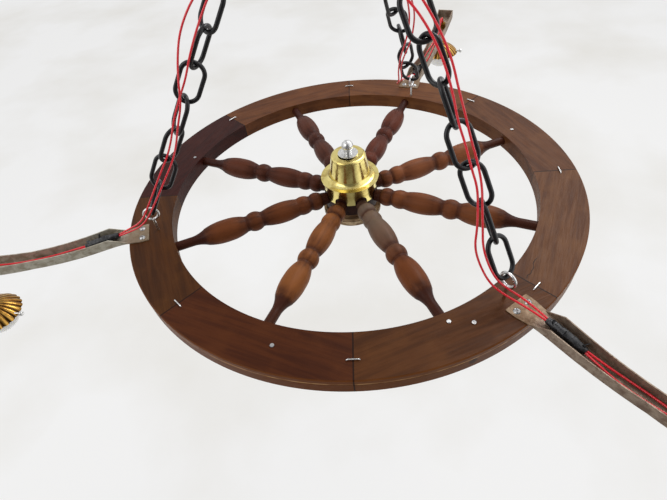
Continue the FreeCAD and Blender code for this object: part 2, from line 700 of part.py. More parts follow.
def chain(side):
    """Twelve links, each turned from the last, from the screw eye up to the ring."""
    radius, contact, pull = chain_line(side)
    eye_normal = Z_AXIS.cross(flat_direction(CHAIN_AZIMUTH[side]))
    first = square_to(eye_normal.cross(eye_reach(CHAIN_AZIMUTH[side], pull)), pull)
    last = square_to(ring_contact(side)[1], pull)
    across = pull.cross(first)
    full = math.degrees(math.atan2(last.dot(across), last.dot(first)))
    half_turns = round((LINK_TWIST * (LINKS - 1) - full) / 180)
    step = (full + 180 * half_turns) / (LINKS - 1)
    link = plain_link()
    links = []
    for k in range(LINKS):
        angle = math.radians(step * k)
        normal = first * math.cos(angle) + across * math.sin(angle)
        links.append(set_link(link, contact + pull * (EYE_TO_LINK + k * LINK_PITCH), pull, normal))
    print(side, "eye radius", round(radius, 2), "twist", round(step, 1))
    return links


# ---------------------------------------------------------------- arms
def arm_curve(lift):
    """The arm's underside in the XZ plane, raised by a lift square to itself."""
    drop = math.radians(ARM_DROP_ANGLE)
    reach = math.radians(ARM_REACH_ANGLE)
    down = vec(math.cos(drop), 0, -math.sin(drop))
    square = vec(math.sin(drop), 0, math.cos(drop))
    first_centre = vec(ARM_BEND_R, 0, -ARM_DROP_BEND)
    bend_end = first_centre + square * ARM_DROP_BEND
    straight_end = bend_end + down * ARM_STRAIGHT
    second_centre = straight_end + square * ARM_RISE_BEND

    def on_drop(angle):
        return first_centre + vec(math.sin(angle), 0, math.cos(angle)) * (ARM_DROP_BEND + lift)

    def on_rise(angle):
        return second_centre + vec(math.sin(angle), 0, -math.cos(angle)) * (ARM_RISE_BEND - lift)

    points = [vec(ARM_BASE_R, 0, lift), on_drop(0), on_drop(drop), on_rise(-drop), on_rise(reach)]
    edges = [
        line(points[0], points[1]),
        arc(points[1], on_drop(drop / 2), points[2]),
        line(points[2], points[3]),
        arc(points[3], on_rise((reach - drop) / 2), points[4]),
    ]
    return edges, points


def arm_height(radius, lift):
    """Height of the raised underside at a radius on the rising bend."""
    drop = math.radians(ARM_DROP_ANGLE)
    square = vec(math.sin(drop), 0, math.cos(drop))
    centre = vec(ARM_BEND_R, 0, -ARM_DROP_BEND) + square * ARM_DROP_BEND
    centre = centre + vec(math.cos(drop), 0, -math.sin(drop)) * ARM_STRAIGHT + square * ARM_RISE_BEND
    across = radius - centre.x
    return centre.z - math.sqrt((ARM_RISE_BEND - lift) ** 2 - across * across)


def side_band(low, high, half):
    """The strip between two lifts of the arm's curve, as wide as the arm can be."""
    lower, low_points = arm_curve(low)
    upper, high_points = arm_curve(high)
    ends = [line(low_points[-1], high_points[-1]), line(high_points[0], low_points[0])]
    face = Part.Face(Part.Wire(Part.sortEdges(lower + upper + ends)[0]))
    face.translate(vec(0, -half, 0))
    return face.extrude(vec(0, 2 * half, 0))


def plan_block(inset, tip):
    """The arm seen from above: two ears, a root, a waist and a flared tip."""
    half_widths = [
        (ARM_BASE_R, EAR_HALF),
        (ARM_BASE_R + EAR_LENGTH, EAR_HALF),
        (ARM_BEND_R, ARM_ROOT_HALF),
        (ARM_WAIST_R, ARM_WAIST_HALF),
        (ARM_TIP_R, ARM_TIP_HALF),
    ]
    rows = [(radius, half - inset) for radius, half in half_widths[:-1]]
    rows.append((tip, half_widths[-1][1] - inset))
    points = [vec(radius, -half, -BEYOND_ARM) for radius, half in rows]
    points += [vec(radius, half, -BEYOND_ARM) for radius, half in reversed(rows)]
    return polygon_face(points).extrude(vec(0, 0, 2 * BEYOND_ARM))


def arm_sheet():
    """A sheet channel, open above, that flattens into two ears on the rim."""
    wide = EAR_HALF + OVERCUT
    outer = side_band(0, ARM_WALL, wide).common(plan_block(0, ARM_TIP_R))
    inner = side_band(ARM_SHEET, ARM_WALL + OVERCUT, wide).common(plan_block(ARM_SHEET, ARM_TIP_R - ARM_SHEET))
    above_ears = polygon_face([
        vec(ARM_BASE_R - OVERCUT, -wide, ARM_SHEET),
        vec(ARM_WALL_START, -wide, ARM_SHEET),
        vec(ARM_WALL_FULL, -wide, ARM_WALL),
        vec(ARM_WALL_FULL, -wide, 2 * ARM_WALL),
        vec(ARM_BASE_R - OVERCUT, -wide, 2 * ARM_WALL),
    ]).extrude(vec(0, 2 * wide, 0))
    return one(outer.cut(inner).cut(above_ears))


def arm():
    shape = arm_sheet()
    for side in (-1, 1):
        at = vec(SCREW_R_ON_WHEEL, side * SCREW_HALF_SPACING, -OVERCUT)
        shape = shape.cut(Part.makeCylinder(SCREW_R, ARM_SHEET + 2 * OVERCUT, at))
    return shape.cut(Part.makeCylinder(STEM_R, 2 * BEYOND_ARM, vec(LAMP_RADIUS, 0, -BEYOND_ARM)))


def arm_screw():
    """Round-head wood screw with a slot, its head on the ear's upper face."""
    head = Part.makeSphere(SCREW_DOME_R, vec(0, 0, SCREW_HEAD_HEIGHT - SCREW_DOME_R))
    head = head.common(Part.makeCylinder(SCREW_HEAD_R, SCREW_HEAD_HEIGHT))
    slot = Part.makeBox(2 * SCREW_HEAD_R, SCREW_SLOT, SCREW_SLOT, vec(-SCREW_HEAD_R, -SCREW_SLOT / 2, 0))
    head = head.cut(slot.translated(vec(0, 0, SCREW_HEAD_HEIGHT - SCREW_SLOT)))
    shank = Part.makeCylinder(SCREW_R, SCREW_LENGTH, vec(0, 0, -SCREW_LENGTH))
    return one(head.fuse(shank))


def arm_screw_pair():
    places = [vec(SCREW_R_ON_WHEEL, side * SCREW_HALF_SPACING, ARM_SHEET) for side in (-1, 1)]
    return [arm_screw().translated(at) for at in places]


# ---------------------------------------------------------------- lamps
def at_lamp(shape, side):
    """Set a piece drawn about Z, with the gallery's apex at the origin, under its arm."""
    placed = shape.copy()
    placed.translate(vec(LAMP_RADIUS, 0, gallery_top(side)))
    return on_wheel(placed, ARM_AZIMUTH[side])


def gallery_top(side):
    return arm_height(LAMP_RADIUS, 0) - LAMP_DROP[side]


def lamp_stem(side, sheet):
    """Stem tube, with shaped seats and nuts that clamp the arm, and a collar on the gallery."""
    floor = arm_height(LAMP_RADIUS, 0) - gallery_top(side)
    seat_up = floor + ARM_SHEET + SEAT_THICK + SEAT_WEDGE
    seat_down = floor - SEAT_THICK - SEAT_WEDGE
    top = seat_up + STEM_NUT_THICK + STEM_PROUD
    bottom = holder_top() - HOLDER_WALL
    tube = turned([(STEM_BORE_R, bottom), (STEM_R, bottom), (STEM_R, top), (STEM_BORE_R, top)])
    bore = Part.makeCylinder(STEM_R, top - bottom, vec(0, 0, bottom))
    block = Part.makeCylinder(SEAT_R, seat_up - seat_down, vec(0, 0, seat_down)).cut(bore)
    local_sheet = sheet.translated(vec(-LAMP_RADIUS, 0, -gallery_top(side)))
    seats = block.cut(local_sheet).Solids
    upper = hexagon(STEM_NUT_FLAT, STEM_NUT_THICK, vec(0, 0, seat_up)).cut(bore)
    lower = hexagon(STEM_NUT_FLAT, STEM_NUT_THICK, vec(0, 0, seat_down - STEM_NUT_THICK)).cut(bore)
    collar = Part.makeCylinder(COLLAR_R, COLLAR_THICK).cut(bore)
    solids = [tube, upper, lower, collar] + seats
    return [at_lamp(solid, side) for solid in solids]


DOME_R = (GALLERY_R ** 2 + GALLERY_HEIGHT ** 2) / (2 * GALLERY_HEIGHT)
DOME_EDGE_ANGLE = math.asin(GALLERY_R / DOME_R)
DOME_INSIDE_R = DOME_R * (1 - FLUTE_DEPTH) - GALLERY_WALL


def holder_top():
    """Height at which the holder's flat top just clears the inside of the dome."""
    flat_r = HOLDER_R - HOLDER_WALL
    return -DOME_R + math.sqrt(DOME_INSIDE_R ** 2 - flat_r ** 2) - CONTACT_GAP


def scalloped_wire(radius, height):
    """A closed outline of outward arcs, one for each flute."""
    pitch = 360.0 / GALLERY_FLUTES
    valley = radius * (1 - FLUTE_DEPTH)
    edges = []
    for k in range(GALLERY_FLUTES):
        start = flat_direction(pitch * k) * valley + vec(0, 0, height)
        crest = flat_direction(pitch * (k + 0.5)) * radius + vec(0, 0, height)
        end = flat_direction(pitch * (k + 1)) * valley + vec(0, 0, height)
        edges.append(arc(start, crest, end))
    return Part.Wire(edges)


def gallery():
    """Fluted brass dome with a scalloped edge and three holes for the thumbscrews."""
    wires = []
    for share in GALLERY_SECTIONS:
        angle = DOME_EDGE_ANGLE * share
        wires.append(scalloped_wire(DOME_R * math.sin(angle), DOME_R * (math.cos(angle) - 1)))
    dome = Part.makeLoft(wires, True, False)
    cap_angle = DOME_EDGE_ANGLE * GALLERY_SECTIONS[0]
    cap_low = DOME_R * (math.cos(cap_angle) - 1) - GALLERY_WALL
    boss = Part.makeCylinder(DOME_R * math.sin(cap_angle) * (1 - 2 * FLUTE_DEPTH), -cap_low, vec(0, 0, cap_low))
    hollow = Part.makeSphere(DOME_INSIDE_R, vec(0, 0, -DOME_R))
    shape = dome.fuse(boss).cut(hollow)
    shape = shape.cut(Part.makeCylinder(STEM_R, GALLERY_HEIGHT, vec(0, 0, -GALLERY_HEIGHT)))
    for k in range(THUMBSCREWS):
        height = THUMBSCREW_ABOVE_RIM - GALLERY_HEIGHT
        out = flat_direction(thumbscrew_azimuth(k)) * GALLERY_R * 1.3 + vec(0, 0, height)
        shape = shape.cut(round_bar(vec(0, 0, height), out, THUMBSCREW_R))
    return one(shape)


def thumbscrew_azimuth(k):
    return 360.0 / THUMBSCREWS * k - 90.0 + 360.0 / GALLERY_FLUTES / 2


def thumbscrew(k):
    """Ball-headed screw through the gallery that pinches the glass neck."""
    tip = GLOBE_NECK_R + CONTACT_GAP
    ball_foot = THUMBSCREW_BALL_AT - math.sqrt(THUMBSCREW_BALL_R ** 2 - THUMBSCREW_R ** 2)
    end = vec(0, 0, THUMBSCREW_BALL_AT + THUMBSCREW_BALL_R)
    outline = face_of([
        line(vec(0, 0, tip), vec(THUMBSCREW_R, 0, tip)),
        line(vec(THUMBSCREW_R, 0, tip), vec(THUMBSCREW_R, 0, ball_foot)),
        arc(vec(THUMBSCREW_R, 0, ball_foot), vec(THUMBSCREW_BALL_R, 0, THUMBSCREW_BALL_AT), end),
        line(end, vec(0, 0, tip)),
    ])
    screw = outline.revolve(ORIGIN, Z_AXIS, 360)
    screw.rotate(ORIGIN, vec(0, 1, 0), 90)
    screw.rotate(ORIGIN, Z_AXIS, thumbscrew_azimuth(k))
    return screw.translated(vec(0, 0, THUMBSCREW_ABOVE_RIM - GALLERY_HEIGHT))


def lampholder():
    """Holder below the gallery, open below for the bulb's cap."""
    top = holder_top()
    bottom = -GALLERY_HEIGHT - HOLDER_BELOW_RIM
    bore = BULB_CAP_R + CAP_GAP
    floor = -GALLERY_HEIGHT + BULB_CAP_TOP + CAP_GAP
    return turned([
        (STEM_R, top),
        (HOLDER_R - HOLDER_WALL, top),
        (HOLDER_R, top - HOLDER_WALL),
        (HOLDER_R, bottom),
        (bore, bottom),
        (bore, floor),
        (STEM_R, floor),
    ])


def globe():
    """Opal glass globe with a plain neck, open above."""
    centre = -GALLERY_HEIGHT
    inner = GLOBE_R - GLOBE_WALL
    neck_in = GLOBE_NECK_R - GLOBE_WALL
    top = centre + GLOBE_NECK_TOP
    shoulder = centre + GLOBE_SHOULDER
    turn = math.sqrt(0.5)
    edges = [
        arc(vec(0, 0, centre - GLOBE_R), vec(GLOBE_R * turn, 0, centre - GLOBE_R * turn), vec(GLOBE_R, 0, centre)),
        line(vec(GLOBE_R, 0, centre), vec(GLOBE_NECK_R, 0, shoulder)),
        line(vec(GLOBE_NECK_R, 0, shoulder), vec(GLOBE_NECK_R, 0, top)),
        line(vec(GLOBE_NECK_R, 0, top), vec(neck_in, 0, top)),
        line(vec(neck_in, 0, top), vec(neck_in, 0, shoulder)),
        line(vec(neck_in, 0, shoulder), vec(inner, 0, centre)),
        arc(vec(inner, 0, centre), vec(inner * turn, 0, centre - inner * turn), vec(0, 0, centre - inner)),
        line(vec(0, 0, centre - inner), vec(0, 0, centre - GLOBE_R)),
    ]
    return face_of(edges).revolve(ORIGIN, Z_AXIS, 360)


def bulb():
    """Small round bulb on a screw cap."""
    centre = -GALLERY_HEIGHT - BULB_BELOW_RIM
    ball = Part.makeSphere(BULB_R, vec(0, 0, centre))
    cap_top = -GALLERY_HEIGHT + BULB_CAP_TOP
    return one(ball.fuse(Part.makeCylinder(BULB_CAP_R, cap_top - centre, vec(0, 0, centre))))


# ---------------------------------------------------------------- wires
def cord_tube(name, points, radius):
    """A round wire along straight runs joined by tangent arcs."""
    edges = []
    radii = []
    here = points[0]
    for k in range(1, len(points) - 1):
        corner = points[k]
        back = points[k - 1] - corner
        ahead = points[k + 1] - corner
        shorter = min(back.Length, ahead.Length)
        half_turn = (math.pi - back.getAngle(ahead)) / 2
        trim = 0.45 * shorter
        radii.append(trim / math.tan(half_turn))
        back.normalize()
        ahead.normalize()
        inward = (back + ahead).normalize()
        start = corner + back * trim
        end = corner + ahead * trim
        depth = radii[-1] / math.cos(half_turn) - radii[-1]
        edges.append(line(here, start))
        edges.append(arc(start, corner + inward * depth, end))
        here = end
    edges.append(line(here, points[-1]))
    path = Part.Wire(edges)
    section = Part.Wire([Part.Circle(points[0], points[1] - points[0], radius).toShape()])
    tube = path.makePipeShell([section], True, False)
    length = sum(edge.Length for edge in edges)
    share = tube.Volume / (math.pi * radius ** 2 * length)
    print(name, "length", round(length, 1), "volume share", round(share, 4), "least radius", round(min(radii), 1))
    return tube


def chain_wires(side):
    middle = wheel_point(0, 0, 0)
    routes = [[vec(*point) + middle for point in route] for route in CHAIN_WIRES[side]]
    return [cord_tube("wire up " + side, route, WIRE_R) for route in routes]


def arm_wires(side):
    routes = [[vec(*point) for point in route] for route in ARM_WIRES]
    return [on_wheel(cord_tube("wire along " + side, route, WIRE_R), ARM_AZIMUTH[side]) for route in routes]


def tape_joint():
    """Spindle of wound tape over the wire splices, lying in the arm's root."""
    start = vec(TAPE_START_R, 0, TAPE_START_HEIGHT)
    end = vec(TAPE_END_R, 0, TAPE_END_HEIGHT)
    along = (end - start).normalize()
    square = vec(-along.z, 0, along.x)
    half = (end - start).Length / 2
    bulge = TAPE_RADIUS - TAPE_END_RADIUS
    curve = (half ** 2 + bulge ** 2) / (2 * bulge)
    outline = [start]
    for k in range(TAPE_PIECES + 1):
        at = half * (2 * k / TAPE_PIECES - 1)
        radius = TAPE_RADIUS - curve + math.sqrt(curve ** 2 - at ** 2)
        outline.append((start + end) / 2 + along * at + square * radius)
    outline.append(end)
    return polygon_face(outline).revolve(start, along, 360)


def terminal_block():
    """Block with six wire entries below and two supply holes above."""
    top = BLOCK_TOP
    corner = vec(-BLOCK_LENGTH / 2, BLOCK_ASIDE - BLOCK_WIDTH / 2, top - BLOCK_HEIGHT)
    block = Part.makeBox(BLOCK_LENGTH, BLOCK_WIDTH, BLOCK_HEIGHT, corner)
    block = block.makeFillet(1.5, [edge for edge in block.Edges if abs(edge.tangentAt(0).z) > 0.9])
    for k in (-1, 1):
        start = vec(k * BLOCK_HOLE_PITCH / 2, BLOCK_ASIDE, top - BLOCK_SUPPLY_DEPTH)
        block = block.cut(Part.makeCylinder(BLOCK_SUPPLY_R, BLOCK_SUPPLY_DEPTH, start))
    return block


# ---------------------------------------------------------------- build
def build_wheel():
    eyes = [screw_eye(side) for side in SIDES]
    screws = []
    for side in SIDES:
        screws += [on_wheel(screw, ARM_AZIMUTH[side]) for screw in arm_screw_pair()]
    staples = [on_wheel(staple(), FIRST_JOINT + FELLOE_ANGLE * k) for k in range(FELLOES)]
    nails = [on_wheel(nail(RIM_INNER_R + inset, azimuth)) for inset, azimuth in NAIL_PLACES]
    dowels = [on_wheel(dowel(), FIRST_JOINT + FELLOE_ANGLE * k) for k in range(FELLOES)]
    for k in range(FELLOES):
        shape = on_wheel(felloe_blank(), FIRST_JOINT + FELLOE_ANGLE * (k + 0.5))
        for fixing in eyes + screws + staples + nails + dowels:
            if shape.BoundBox.intersect(fixing.BoundBox):
                shape = shape.cut(fixing)
        export("felloe_" + str(k + 1), [shape])
        turned_spoke = on_wheel(spoke(), FIRST_JOINT + FELLOE_ANGLE * (k + 0.5))
        for pin in nails:
            if turned_spoke.BoundBox.intersect(pin.BoundBox):
                turned_spoke = turned_spoke.cut(pin)
        export("spoke_" + str(k + 1), [turned_spoke])
    export("screw_eyes", eyes)
    export("arm_screws", screws)
    export("joint_staples", staples)
    export("rim_nails", nails)
    export("felloe_dowels", dowels)
    export("hub_core", [on_wheel(hub_core())])
    export("hub_crown", [on_wheel(hub_crown())])
    export("hub_bell", [on_wheel(hub_bell())])
    export("hub_rod", [on_wheel(hub_rod())])
    export("hub_nuts", [on_wheel(piece) for piece in hub_nuts()])
    export("hub_base", [on_wheel(hub_base())])


def build_hanging():
    export("ceiling_plate", [ceiling_plate()])
    export("ceiling_hook", [ceiling_hook()])
    export("gather_ring", [gather_ring()])
    for side in SIDES:
        export("chain_" + side, chain(side))


def build_arms():
    shape = arm()
    sheet = side_band(0, ARM_SHEET, EAR_HALF)
    dome = gallery()
    stems = []
    screws = []
    for side in SIDES:
        export("arm_" + side, [on_wheel(shape, ARM_AZIMUTH[side])])
        stems += lamp_stem(side, sheet)
        export("gallery_" + side, [at_lamp(dome, side)])
        export("lampholder_" + side, [at_lamp(lampholder(), side)])
        export("globe_" + side, [at_lamp(globe(), side)])
        export("bulb_" + side, [at_lamp(bulb(), side)])
        screws += [at_lamp(thumbscrew(k), side) for k in range(THUMBSCREWS)]
    export("lamp_stems", stems)
    export("thumbscrews", screws)


def build_wires():
    for side in SIDES:
        export("chain_wires_" + side, chain_wires(side))
        export("arm_wires_" + side, arm_wires(side))
    export("tape_joints", [on_wheel(tape_joint(), ARM_AZIMUTH[side]) for side in SIDES])
    export("terminal_block", [on_wheel(terminal_block())])


os.makedirs("parts", exist_ok=True)
build_wheel()
build_hanging()
build_arms()
build_wires()
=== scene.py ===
import bpy
import math
from mathutils import Matrix, Vector, noise


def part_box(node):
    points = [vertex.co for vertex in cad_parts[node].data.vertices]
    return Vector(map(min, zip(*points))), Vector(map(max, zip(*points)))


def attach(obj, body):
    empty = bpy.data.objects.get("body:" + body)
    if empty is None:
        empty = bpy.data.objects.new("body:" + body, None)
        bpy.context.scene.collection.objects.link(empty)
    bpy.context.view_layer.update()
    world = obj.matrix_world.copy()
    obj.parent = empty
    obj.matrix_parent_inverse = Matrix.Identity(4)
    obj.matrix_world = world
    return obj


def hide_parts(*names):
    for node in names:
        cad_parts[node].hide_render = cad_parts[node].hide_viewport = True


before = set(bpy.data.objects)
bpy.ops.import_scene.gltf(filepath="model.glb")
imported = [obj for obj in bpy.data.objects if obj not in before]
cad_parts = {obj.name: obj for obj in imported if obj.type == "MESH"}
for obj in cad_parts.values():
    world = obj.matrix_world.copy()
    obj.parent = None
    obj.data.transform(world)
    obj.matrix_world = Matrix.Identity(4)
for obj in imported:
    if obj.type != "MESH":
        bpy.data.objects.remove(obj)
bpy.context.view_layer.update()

# Wagon wheel chandelier. Everything is in metres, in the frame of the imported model.
# "On the wheel" means measured from the middle of the rim's top face.
SIDES = ("left", "right", "rear")
FELLOES = 8
FELLOE_ANGLE = 360.0 / FELLOES
FIRST_JOINT = -90.0
SPOKE_AXIS_BELOW_TOP = 0.0106
ARM_AZIMUTH = {"left": -164.3, "right": -51.9, "rear": 68.4}
WIRE_R = 0.00115
WIRE_CORNERS = 3
WIRE_STEPS = 8
GALLERY_FLUTES = 24

# The camera stands where the photograph was taken from: its place on the wheel, and its angles in degrees.
CAMERA_PLACE = (0.02386, -0.53574, 0.41664)
CAMERA_YAW = 6.314
CAMERA_PITCH = -45.244
CAMERA_ROLL = -7.639
CAMERA_LENS = 26.52
CAMERA_SENSOR = 36.0
CAMERA_NEAR = 0.01

# Routes of the wires that climb beside each chain, measured on the wheel.
CHAIN_WIRES = {
    "left": [
        [
            (-0.298, -0.0853, 0.0069), (-0.284, -0.084, 0.011), (-0.269, -0.084, 0.017),
            (-0.255, -0.086, 0.028), (-0.241, -0.086, 0.045), (-0.227, -0.083, 0.064),
            (-0.212, -0.078, 0.085), (-0.197, -0.071, 0.106), (-0.186, -0.072, 0.127),
            (-0.177, -0.073, 0.149), (-0.166, -0.071, 0.173), (-0.163, -0.066, 0.195),
            (-0.159, -0.058, 0.216), (-0.152, -0.049, 0.238), (-0.136, -0.042, 0.261),
            (-0.114, -0.045, 0.281), (-0.091, -0.045, 0.297), (-0.066, -0.036, 0.311),
            (-0.044, -0.028, 0.315), (-0.025, -0.02, 0.314), (-0.012, -0.014, 0.318),
            (-0.007, -0.011, 0.326), (-0.007, -0.0108, 0.334),
        ],
        [
            (-0.2987, -0.0825, 0.0069), (-0.285, -0.079, 0.012), (-0.27, -0.079, 0.019),
            (-0.257, -0.082, 0.032), (-0.245, -0.082, 0.049), (-0.232, -0.079, 0.068),
            (-0.218, -0.075, 0.089), (-0.203, -0.068, 0.11), (-0.192, -0.067, 0.13),
            (-0.182, -0.067, 0.153), (-0.169, -0.063, 0.176), (-0.156, -0.062, 0.196),
            (-0.146, -0.061, 0.217), (-0.133, -0.058, 0.24), (-0.118, -0.054, 0.263),
            (-0.101, -0.05, 0.284), (-0.08, -0.045, 0.303), (-0.058, -0.036, 0.317),
            (-0.038, -0.024, 0.323), (-0.021, -0.012, 0.321), (-0.012, -0.005, 0.321),
            (-0.0075, -0.004, 0.327), (-0.007, -0.0038, 0.334),
        ],
    ],
    "right": [
        [
            (0.1924, -0.2432, 0.0069), (0.182, -0.231, 0.011), (0.171, -0.221, 0.015),
            (0.158, -0.217, 0.024), (0.145, -0.216, 0.037), (0.136, -0.21, 0.053), (0.13, -0.202, 0.071),
            (0.129, -0.195, 0.09), (0.128, -0.186, 0.11), (0.127, -0.179, 0.128), (0.123, -0.167, 0.146),
            (0.117, -0.158, 0.164), (0.112, -0.149, 0.183), (0.106, -0.139, 0.203), (0.101, -0.127, 0.223),
            (0.092, -0.118, 0.243), (0.08, -0.11, 0.263), (0.066, -0.101, 0.282), (0.048, -0.092, 0.299),
            (0.035, -0.072, 0.312), (0.023, -0.05, 0.319), (0.014, -0.032, 0.319), (0.008, -0.018, 0.32),
            (0.007, -0.012, 0.326), (0.007, -0.0108, 0.334),
        ],
        [
            (0.1902, -0.2449, 0.0069), (0.18, -0.236, 0.01), (0.168, -0.227, 0.013), (0.154, -0.222, 0.021),
            (0.139, -0.216, 0.032), (0.129, -0.206, 0.049), (0.123, -0.199, 0.068), (0.124, -0.195, 0.089),
            (0.124, -0.188, 0.107), (0.123, -0.18, 0.126), (0.117, -0.173, 0.143), (0.112, -0.163, 0.161),
            (0.105, -0.154, 0.18), (0.101, -0.144, 0.2), (0.095, -0.133, 0.22), (0.086, -0.125, 0.24),
            (0.074, -0.116, 0.259), (0.059, -0.108, 0.275), (0.042, -0.097, 0.29), (0.027, -0.078, 0.302),
            (0.015, -0.057, 0.309), (0.008, -0.036, 0.313), (0.002, -0.02, 0.316), (0, -0.012, 0.324),
            (0, -0.0108, 0.334),
        ],
    ],
    "rear": [
        [
            (0.1128, 0.2888, 0.0069), (0.105, 0.277, 0.01), (0.095, 0.265, 0.012), (0.086, 0.252, 0.015),
            (0.081, 0.237, 0.02), (0.081, 0.221, 0.027), (0.082, 0.207, 0.04), (0.08, 0.196, 0.058),
            (0.08, 0.183, 0.076), (0.0805, 0.164, 0.097), (0.0855, 0.153, 0.119), (0.09, 0.149, 0.139),
            (0.091, 0.142, 0.16), (0.087, 0.13, 0.185), (0.079, 0.113, 0.211), (0.069, 0.098, 0.236),
            (0.063, 0.082, 0.259), (0.055, 0.064, 0.281), (0.0455, 0.046, 0.296), (0.032, 0.028, 0.306),
            (0.018, 0.012, 0.311), (0.01, 0.001, 0.314), (0.0073, -0.0034, 0.321), (0.007, -0.0036, 0.3275),
            (0.007, -0.0038, 0.334),
        ],
        [
            (0.1154, 0.2878, 0.0069), (0.107, 0.273, 0.012), (0.098, 0.26, 0.016), (0.09, 0.246, 0.02),
            (0.086, 0.231, 0.026), (0.086, 0.216, 0.034), (0.086, 0.203, 0.048), (0.083, 0.188, 0.067),
            (0.084, 0.175, 0.085), (0.088, 0.162, 0.104), (0.094, 0.152, 0.124), (0.097, 0.148, 0.144),
            (0.097, 0.138, 0.166), (0.091, 0.122, 0.19), (0.082, 0.105, 0.214), (0.071, 0.091, 0.239),
            (0.0605, 0.0765, 0.262), (0.0485, 0.0605, 0.284), (0.036, 0.044, 0.305), (0.022, 0.025, 0.316),
            (0.01, 0.009, 0.32), (0.002, -0.0005, 0.3215), (0.0002, -0.0034, 0.3275), (0, -0.0038, 0.334),
        ],
    ],
}
# Routes along an arm, as (radius on the wheel, sideways, height above the rim's top face).
ARM_WIRES = [
    [
        (0.354, 0.0014, 0.0012), (0.371, 0.0028, -0.0015), (0.393, 0.0058, -0.004),
        (0.418, 0.0062, -0.0032), (0.444, 0.0036, -0.0006), (0.467, 0.0016, 0.004), (0.482, 0.0013, 0.01),
        (0.4905, 0.0013, 0.018), (0.4955, 0.0013, 0.0255), (0.5015, 0.0013, 0.0285),
        (0.5065, 0.0013, 0.026), (0.508, 0.0013, 0.02), (0.508, 0.0013, 0.012),
    ],
    [
        (0.354, -0.0014, 0.0012), (0.372, -0.0028, -0.0014), (0.395, -0.0036, -0.0036),
        (0.42, -0.0024, -0.0026), (0.444, -0.0016, 0.0002), (0.465, -0.0014, 0.005), (0.48, -0.0013, 0.012),
        (0.4885, -0.0013, 0.02), (0.4945, -0.0013, 0.0275), (0.501, -0.0013, 0.031),
        (0.5065, -0.0013, 0.028), (0.508, -0.0013, 0.021), (0.508, -0.0013, 0.012),
    ],
]


# ---------------------------------------------------------------- places taken from the frame
def union_box(nodes):
    boxes = [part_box(node) for node in nodes]
    low = Vector([min(box[0][k] for box in boxes) for k in range(3)])
    high = Vector([max(box[1][k] for box in boxes) for k in range(3)])
    return low, high


RIM_LOW, RIM_HIGH = union_box(["felloe_%d" % (k + 1) for k in range(FELLOES)])
WHEEL = Vector(((RIM_LOW.x + RIM_HIGH.x) / 2, (RIM_LOW.y + RIM_HIGH.y) / 2, RIM_HIGH.z))
RIM_OUTER_R = (RIM_HIGH.x - RIM_LOW.x) / 2


def on_wheel(radius, azimuth, height, aside=0.0):
    """A point on the wheel, with a step to the left of the outward direction."""
    angle = math.radians(azimuth)
    out = Vector((math.cos(angle), math.sin(angle), 0))
    left = Vector((-math.sin(angle), math.cos(angle), 0))
    return WHEEL + out * radius + left * aside + Vector((0, 0, height))


# ---------------------------------------------------------------- camera
def add_camera():
    data = bpy.data.cameras.new("camera")
    data.lens = CAMERA_LENS
    data.sensor_width = CAMERA_SENSOR
    data.clip_start = CAMERA_NEAR
    camera = bpy.data.objects.new("camera", data)
    bpy.context.scene.collection.objects.link(camera)
    turn = Matrix.Rotation(math.radians(CAMERA_YAW), 4, "Z")
    tilt = Matrix.Rotation(math.radians(90 + CAMERA_PITCH), 4, "X")
    roll = Matrix.Rotation(math.radians(CAMERA_ROLL), 4, "Z")
    camera.matrix_world = Matrix.Translation(WHEEL + Vector(CAMERA_PLACE)) @ turn @ tilt @ roll
    bpy.context.scene.camera = camera


# ---------------------------------------------------------------- cords
def wire_curve(name, points, material):
    """A round wire whose smooth line has the route's points as its control points."""
    data = bpy.data.curves.new(name, "CURVE")
    data.dimensions = "3D"
    data.bevel_depth = WIRE_R
    data.bevel_resolution = WIRE_CORNERS
    data.resolution_u = WIRE_STEPS
    data.use_fill_caps = True
    spline = data.splines.new("NURBS")
    spline.points.add(len(points) - 1)
    for slot, point in zip(spline.points, points):
        slot.co = (*point, 1)
    spline.order_u = 3
    spline.use_endpoint_u = True
    wire = bpy.data.objects.new(name, data)
    bpy.context.scene.collection.objects.link(wire)
    data.materials.append(material)
    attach(wire, "wheel")
    return wire


def add_wires(material):
    for side in SIDES:
        for k, route in enumerate(CHAIN_WIRES[side]):
            points = [WHEEL + Vector(point) for point in route]
            wire = wire_curve("wire_up_%s_%d" % (side, k + 1), points, material)
            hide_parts("chain_wires_" + side)
            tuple(points[0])
        for k, route in enumerate(ARM_WIRES):
            points = [on_wheel(radius, ARM_AZIMUTH[side], height, aside) for radius, aside, height in route]
            wire = wire_curve("wire_out_%s_%d" % (side, k + 1), points, material)
            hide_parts("arm_wires_" + side)
            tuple(points[0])


# ---------------------------------------------------------------- wound tape
# Ends of the taped splice, as (radius on the wheel, height above the rim's top face).
TAPE_START = (0.310, 0.0069)
TAPE_END = (0.354, 0.0012)
TAPE_END_R = 0.0034
TAPE_MIDDLE_R = 0.0054
TAPE_WRAPS = 7
TAPE_RINGS = 84
TAPE_SEGMENTS = 36
TAPE_STEP = 0.0004
TAPE_LUMP = 0.0005
TAPE_LUMPS_ALONG = 3.0
TAPE_LUMPS_ROUND = 1.3
TAPE_SEED_STEP = 7.3
# Loose ends of the tape: place along the splice from -1 to 1, angle from up in degrees, reach,
# lean along the splice as a share of the reach, and width.
TAPE_FLAPS = {
    "left": [
        (-0.35, -30, 0.0052, 0.6, 0.0066), (0.1, 36, 0.0048, -0.3, 0.0060), (0.62, -8, 0.0040, 0.8, 0.0048),
    ],
    "right": [
        (-0.1, 34, 0.0050, 0.5, 0.0064), (0.72, -30, 0.0048, 0.8, 0.0054), (-0.66, 10, 0.0036, -0.7, 0.0050),
    ],
    "rear": [(0.3, 30, 0.0048, 0.4, 0.0062), (-0.45, -26, 0.0042, -0.6, 0.0054)],
}
